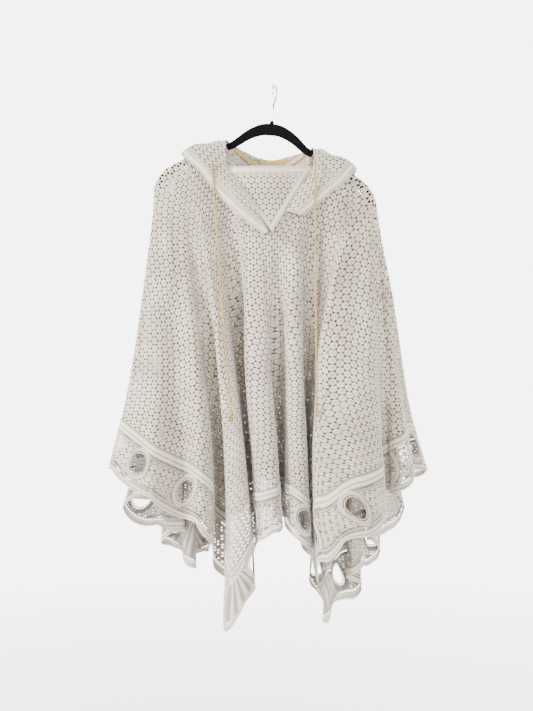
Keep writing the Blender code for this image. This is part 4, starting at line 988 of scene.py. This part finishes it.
def side_net(side):
    """A side's motifs, as parts of the front, the back and the border."""
    centres = motifs_over(side.low, side.high, NET_FROM, side.top)
    a, b = side.along(*centres.T), centres[:, 1]
    clear = (b > scallop(a) + NET_FROM) & ((b < TOP_GAP[0]) | (b > TOP_GAP[1]))
    for x in EYELETS:
        clear &= np.hypot(a - x, b - EYELET_DEPTH) > RING_CLEAR
    clear &= np.abs(a) < np.where(b < FIELD_TOP, CORNER_FROM + CORNER_LAP, HALF - NET_END)
    centres = centres[clear]
    reach = np.where(MOTIF_GAPS[None], reaches(side, centres)[:, None], 1.0)
    cells = centres[:, None] + MOTIF[None] * reach[..., None]
    # points over the small holes of the bands move under their plain parts
    a, b = side.along(cells[..., 0].ravel(), cells[..., 1].ravel()), cells[..., 1].ravel()
    low = np.maximum(b, scallop(a) + EDGE_TUCK)
    field = np.repeat(centres[:, 1] < TOP_GAP[0], len(MOTIF))
    b = np.where(field, np.minimum(low, TOP_TUCK), b)
    for x in EYELETS:
        r = np.hypot(a - x, b - EYELET_DEPTH)
        push = np.where(r < RING_TUCK, RING_TUCK / np.maximum(r, 1), 1)
        a, b = x + (a - x) * push, EYELET_DEPTH + (b - EYELET_DEPTH) * push
    under = (b < scallop(a) + EDGE_UNDER) | (b > TOP_UNDER) & (b < TOP_ROWS[-1][0])
    under |= (np.abs(a) > CORNER_FROM) & (b < CORNER_UNDER)
    for x in EYELETS:
        under |= np.hypot(a - x, b - EYELET_DEPTH) < RING_UNDER
    rise = np.where(under, TUCK_H, np.tile(MOTIF_RISE, len(centres)))
    first, number = joined(np.stack([a, b], -1))
    number = number.reshape(len(centres), -1)
    p, along, inside = side.rays(side.flat(a[first], b[first]))
    keep = inside[number].sum(axis=1) >= WHOLE
    centres, number = centres[keep], number[keep]
    places = laid(p, along, rise[first])
    border = centres[:, 1] < FIELD_TOP
    front = side.front(p[number[:, -1]])
    return [(places, number[chosen][:, MOTIF_TRI].reshape(-1, 3), rise[first] / RING_H)
            for chosen in (front & ~border, ~front & ~border, border)]


def corner_patch(side, sign):
    """Close work in the mitre, with ribs that fan out from its inner point."""
    along = np.linspace(CORNER_FROM, HALF, CORNER_STEPS)
    points, raised = [], []
    for d in np.linspace(*CORNER_DEPTHS):
        a = np.minimum(along, HALF - d)
        turn = np.arctan2(a - HALF + BORDER + RIB_POINT, BORDER + RIB_POINT - d)
        ribs = np.cos(turn * RIBS)
        points.append(side.place(sign * a, a * 0 + d, RIB_MID + RIB_H * ribs))
        # painted shade: darker in the hollows between the ribs, lighter on their tops
        raised.append(RIB_DARK + RIB_LIGHT * (0.5 + 0.5 * ribs))
    return *grid_part(points, flip=sign < 0), np.concatenate(raised)


def grid_part(rows, flip=False):
    """Triangles over equal rows of points."""
    count = len(rows[0])
    r, c = np.meshgrid(np.arange(len(rows) - 1), np.arange(count - 1), indexing="ij")
    a, b = (r * count + c).ravel(), ((r + 1) * count + c).ravel()
    tri = np.vstack([np.stack([a, a + 1, b + 1], -1), np.stack([a, b + 1, b], -1)])
    return np.vstack(rows), tri[:, ::-1] if flip else tri


def ring_part(side, x):
    """One eyelet's corded ring, with a row of small holes."""
    turn = np.linspace(0, 2 * math.pi, RING_SIDES + 1)

    def place(t, r, rise):
        return side.place(x + r * np.cos(t), EYELET_DEPTH + r * np.sin(t), rise)

    return band(place, turn, RING_ROWS, RING_LADDER, flip=True)


def side_border(side):
    """A border's corded edge, top band, eyelet rings and mitres."""
    def edge(a, d, rise):
        """Border place that follows the scallops."""
        return side.place(a, d + scallop(a) * np.clip(1 - d / SCALLOP_FADE, 0, 1), rise)

    low = np.arange(-HALF, HALF + 1, EDGE_STEP)
    high = np.arange(-HALF, HALF + 1, TOP_STEP)
    parts = [band(edge, low, EDGE_ROWS, EDGE_LADDER), band(side.place, high, TOP_ROWS, TOP_LADDER)]
    parts += [ring_part(side, x) for x in EYELETS]
    return parts + [corner_patch(side, sign) for sign in (-1, 1)]


def make_cloth(lace, band_mat):
    """Front, back and four borders."""
    front, back, pieces = [], [], {}
    for number, name in enumerate(("front", "right", "back", "left")):
        side = Side(number)
        fore, aft, field = side_net(side)
        front.append(fore)
        back.append(aft)
        made = mesh_piece(f"{name}_border_net", [field], lace, ())
        bands = mesh_piece(f"{name}_border_bands", side_border(side), band_mat,
                           [f"border_{name}"])
        pieces[name] = (made, bands)
    fore = mesh_piece("front_net", front, lace, ["poncho_front"])
    aft = mesh_piece("back_net", back, lace, ["poncho_back"])
    return fore, aft


class Hood:
    """The hood's surface by length along its opening edge, s, and depth in from it, t."""

    GRID, NEAR_EDGE = (241, 81), 12  # rows and columns, and the first columns, which s is along

    def __init__(self):
        along, across = np.linspace(0, HOOD_STOP, self.GRID[0]), np.linspace(0, 8, self.GRID[1])
        self.grid = hood_surface(along, across)[:, ::-1]
        step = np.linalg.norm(np.diff(self.grid, axis=1), axis=2)
        self.depth = np.hstack([step[:, :1] * 0, np.cumsum(step, axis=1)])
        middle = self.grid[:, :self.NEAR_EDGE].mean(axis=1)
        step = np.linalg.norm(np.diff(middle, axis=0), axis=1)
        self.s = np.concatenate([[0.0], np.cumsum(step)])
        n = np.cross(np.gradient(self.grid, axis=0), np.gradient(self.grid, axis=1))
        self.normal = -n / np.linalg.norm(n, axis=2)[:, :, None]

    def station(self, s):
        """Row of the grid at a length along the edge."""
        return np.clip(np.interp(s, self.s, np.arange(len(self.s))), 0, len(self.s) - 1.001)

    def place(self, s, t, rise):
        """Place on the hood, raised off its face."""
        i = self.station(s)
        i0 = i.astype(int)
        f = (i - i0)[:, None]
        depth = blend(self.depth[i0], self.depth[i0 + 1], f)
        t = np.minimum(t, depth[:, -1] - 1e-6)
        j0 = np.clip((depth <= t[:, None]).sum(axis=1) - 1, 0, depth.shape[1] - 2)
        row = np.arange(len(t))
        g = ((t - depth[row, j0]) / (depth[row, j0 + 1] - depth[row, j0]))[:, None]
        out = []
        for field in (self.grid, self.normal):
            near = blend(field[i0, j0], field[i0 + 1, j0], f)
            far = blend(field[i0, j0 + 1], field[i0 + 1, j0 + 1], f)
            out.append(blend(near, far, g))
        return out[0] + out[1] * np.reshape(rise, (-1, 1))

    def inside(self, s, t):
        """Which places are between the opening edge and the neck seam."""
        return (s > 0) & (s < self.s[-1]) & (t < self.depth[self.station(s).astype(int), -1])


def make_hood_looks(lace, band_mat):
    """Hood net, and the casing along its opening edge."""
    hood = Hood()
    centres = motifs_over(0, hood.s[-1], CASING_ROWS[-1][0] + CASING_CLEAR, hood.depth.max())
    made = mesh_piece("hood_net", [net_part(centres, hood.inside, hood.place)], lace, ["hood"])
    roll = band(hood.place, np.arange(0, hood.s[-1], CASING_STEP), CASING_ROWS, flip=True)
    casing = mesh_piece("hood_casing", [roll], band_mat, ())
    return made


def make_inset_looks(lace, band_mat):
    """Inset net with its hem and the two bands down to its foot."""
    left, right, foot = arr(INSET_LEFT), arr(INSET_RIGHT), arr(INSET_FOOT)
    foot = foot + INSET_REACH * (foot - (left + right) / 2)
    tall = np.linalg.norm((left + right) / 2 - foot)
    wide = np.linalg.norm(right - left)

    def place(s, t, rise):
        """Places on the inset, s from its middle and t down from its top edge."""
        r = np.clip(t / tall, 0, 0.98)
        x = np.clip(s / (wide * (1 - r)) + 0.5, 0, 1)
        a, b = left + np.outer(r, foot - left), right + np.outer(r, foot - right)
        out = a + (b - a) * x[:, None]
        out[:, 1] -= INSET_SAG * np.sin(math.pi * x) * (1 - r) + rise
        return out

    def inside(s, t):
        """Which places are on the triangle."""
        return (np.abs(s) < wide / 2 * (1 - t / tall)) & (t < tall)

    centres = motifs_over(-wide / 2, wide / 2, INSET_HEM[-1][0] + INSET_CLEAR, tall)
    made = mesh_piece("inset_net", [net_part(centres, inside, place)], lace, ["neck_inset"])
    across = np.linspace(-wide / 2, wide / 2, INSET_STEPS[0])
    parts = [band(place, across, INSET_HEM, flip=True)]
    for sign in (-1, 1):
        def down(t, d, rise, sign=sign):
            """Place t down a side and d in from it."""
            return place(sign * (wide / 2 * (1 - t / tall) - d), t, rise)

        run = np.linspace(INSET_FROM, tall * INSET_STOP, INSET_STEPS[1])
        parts.append(band(down, run, INSET_BAND, flip=sign < 0))
    bands = mesh_piece("inset_bands", parts, band_mat, ())


def tube_part(run, radius, sides, ripple=None):
    """Tube about a line of points, its radius given by a number or for each ring."""
    run = arr(run)
    way = np.gradient(run, axis=0)
    way /= np.linalg.norm(way, axis=1)[:, None]
    side = np.cross(way, [0.0, 1.0, 0.0])
    side /= np.linalg.norm(side, axis=1)[:, None]
    other = np.cross(way, side)
    turn = np.linspace(0, 2 * math.pi, sides + 1)
    far = np.concatenate([[0.0], np.cumsum(np.linalg.norm(np.diff(run, axis=0), axis=1))])
    radii = np.broadcast_to(np.asarray(radius, float), (len(run),))[:, None] * np.ones(sides + 1)
    if ripple:
        radii = radii + ripple(far[:, None], turn[None])
    rows = [run[i] + radii[i][:, None] * (np.outer(np.cos(turn), side[i])
                                          + np.outer(np.sin(turn), other[i]))
            for i in range(len(run))]
    return grid_part(rows)


def braid(far, turn):
    """Ripple of a round braid: two sets of strands that cross."""
    one = np.cos(4 * turn + 2 * math.pi * far / BRAID_LAY)
    two = np.cos(4 * turn - 2 * math.pi * far / BRAID_LAY)
    return BRAID_RELIEF * np.maximum(one, two) - BRAID_SINK


def make_cord_looks(side, points, cord_mat, tip_mat):
    """One free end of the drawstring with its tip."""
    knots = arr(points)
    run = smooth(knots, np.linspace(0, len(knots) - 1, CORD_RINGS))
    cord = mesh_piece(f"drawstring_{side}", [tube_part(run, CORD_D / 2, CORD_SIDES, braid)],
                      cord_mat, [f"cord_{side}"])
    way = (run[-1] - run[-4]) / np.linalg.norm(run[-1] - run[-4])
    place = arr([run[-1] + way * (d + SEAM) for d, _ in TIP_PROFILE])
    radii = arr([r for _, r in TIP_PROFILE])
    points, tri = tube_part(place, radii, TIP_SIDES)
    tip = mesh_piece(f"tip_{side}", [(points, tri)], tip_mat, [f"cord_tip_{side}"])
    return cord


def make_hanger_looks(velvet, chrome):
    """Flocked hanger with its nub, and the wire hook."""
    line = smooth(hanger_line(), np.linspace(0, len(hanger_line()) - 1, ARM_RINGS))
    top = line[:, :2]
    way = np.gradient(top, axis=0)
    way /= np.hypot(*way.T)[:, None]
    inward = np.stack([way[:, 1], -way[:, 0]], -1)
    turn = np.linspace(0, 2 * math.pi, ARM_SIDES + 1)
    thick, tall = (np.sign(f(turn)) * np.abs(f(turn)) ** power
                   for f, power in zip((np.sin, np.cos), ARM_SQUARE))
    rows = []
    for k, (a, n, height) in enumerate(zip(top, inward, line[:, 2])):
        close = min(1.0, math.sqrt(max(min(k, len(top) - 1 - k), END_LEAST) / END_CLOSE))
        q = a + n * np.reshape(height * (0.5 - 0.5 * tall * close), (-1, 1))
        rows.append(hang(q[:, 0], HANGER_THICK / 2 * close * thick, q[:, 1]))
    nub = [hang(radius * np.cos(turn), radius * np.sin(turn), turn * 0 + up)
           for up, radius in NUB_PROFILE]
    made = mesh_piece("velvet_hanger", [grid_part(rows, flip=True), grid_part(nub)], velvet,
                      ["hanger"])
    run = SHANK + [(HOOK_R * math.cos(t), HOOK_RISE + HOOK_R * math.sin(t))
                   for t in np.radians(np.linspace(*HOOK_ARC, HOOK_RINGS))]
    q, up = arr(run).T
    places = hang(q * math.cos(HOOK_TURN), q * math.sin(HOOK_TURN), up)
    radii = np.full(len(run), WIRE_D / 2)
    radii[-len(WIRE_TIP):] *= arr(WIRE_TIP)
    wire = mesh_piece("wire_hook", [tube_part(places, radii, WIRE_SIDES)], chrome, ["hook"])
    return made, wire


def make_stage():
    """Pale floor that fades into the surroundings, soft lights and the camera."""
    bpy.ops.mesh.primitive_circle_add(vertices=96, radius=FLOOR_R, fill_type="NGON",
                                      location=(0, 0, FLOOR_Z))
    floor = bpy.context.object
    floor.name = "floor"
    mat, tree, shader, coords = surface("matte_floor", 0.9)
    shader.inputs["Base Color"].default_value = linear(FLOOR)
    far = node(tree, "ShaderNodeVectorMath", {"operation": "LENGTH"}, {"Vector": coords})
    fade = node(tree, "ShaderNodeMapRange", links={"Value": far.outputs["Value"]},
                From_Min=FLOOR_FADE[0], From_Max=FLOOR_FADE[1], To_Min=1.0, To_Max=0.0)
    tree.links.new(fade.outputs["Result"], shader.inputs["Alpha"])
    floor.data.materials.append(mat)
    world = bpy.data.worlds.new("studio")
    bpy.context.scene.world = world
    world.use_nodes = True
    tree = world.node_tree
    back = tree.nodes["Background"]
    back.inputs["Color"].default_value = linear(SURROUND)
    way = node(tree, "ShaderNodeTexCoord").outputs["Generated"]
    height = node(tree, "ShaderNodeSeparateXYZ", links={"Vector": way}).outputs["Z"]
    height = node(tree, "ShaderNodeMath", {"operation": "ABSOLUTE"}, {0: height})
    glow = node(tree, "ShaderNodeMapRange", {"interpolation_type": "SMOOTHSTEP"},
                {"Value": height.outputs[0]}, From_Min=SURROUND_FADE[0], From_Max=SURROUND_FADE[1],
                To_Min=SURROUND_LIGHT[0], To_Max=SURROUND_LIGHT[1])
    tree.links.new(glow.outputs["Result"], back.inputs["Strength"])
    for name, place, size, power in LIGHTS:
        data = bpy.data.lights.new(name, "AREA")
        data.shape = "DISK"
        data.size = size
        data.energy = power
        lamp = bpy.data.objects.new(name, data)
        lamp.location = place
        way = Vector(AIM) - Vector(place)
        lamp.rotation_euler = way.to_track_quat("-Z", "Y").to_euler()
        bpy.context.scene.collection.objects.link(lamp)
    data = bpy.data.cameras.new("camera")
    data.lens = LENS
    camera = bpy.data.objects.new("camera", data)
    camera.location = EYE
    camera.rotation_euler = (math.pi / 2, 0, 0)
    bpy.context.scene.collection.objects.link(camera)
    bpy.context.scene.camera = camera


def main():
    """Stage first, then each piece; the tape and label keep their solids in a new material."""
    make_stage()
    cord_mat, tip_mat = cotton_cord(), gilt_metal()
    for side, points in (("left", CORD_LEFT), ("right", CORD_RIGHT)):
        make_cord_looks(side, points, cord_mat, tip_mat)
    lace, band_mat, tape = cotton_lace(), cotton_band(), satin_tape()
    cloth = make_cloth(lace, band_mat)
    hood = make_hood_looks(lace, band_mat)
    make_inset_looks(lace, band_mat)
    make_hanger_looks(velvet_flock(), chromed_wire())
    for name in ("neck_tape", "neck_label"):
        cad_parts[name].data.materials.clear()
        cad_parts[name].data.materials.append(tape)


main()
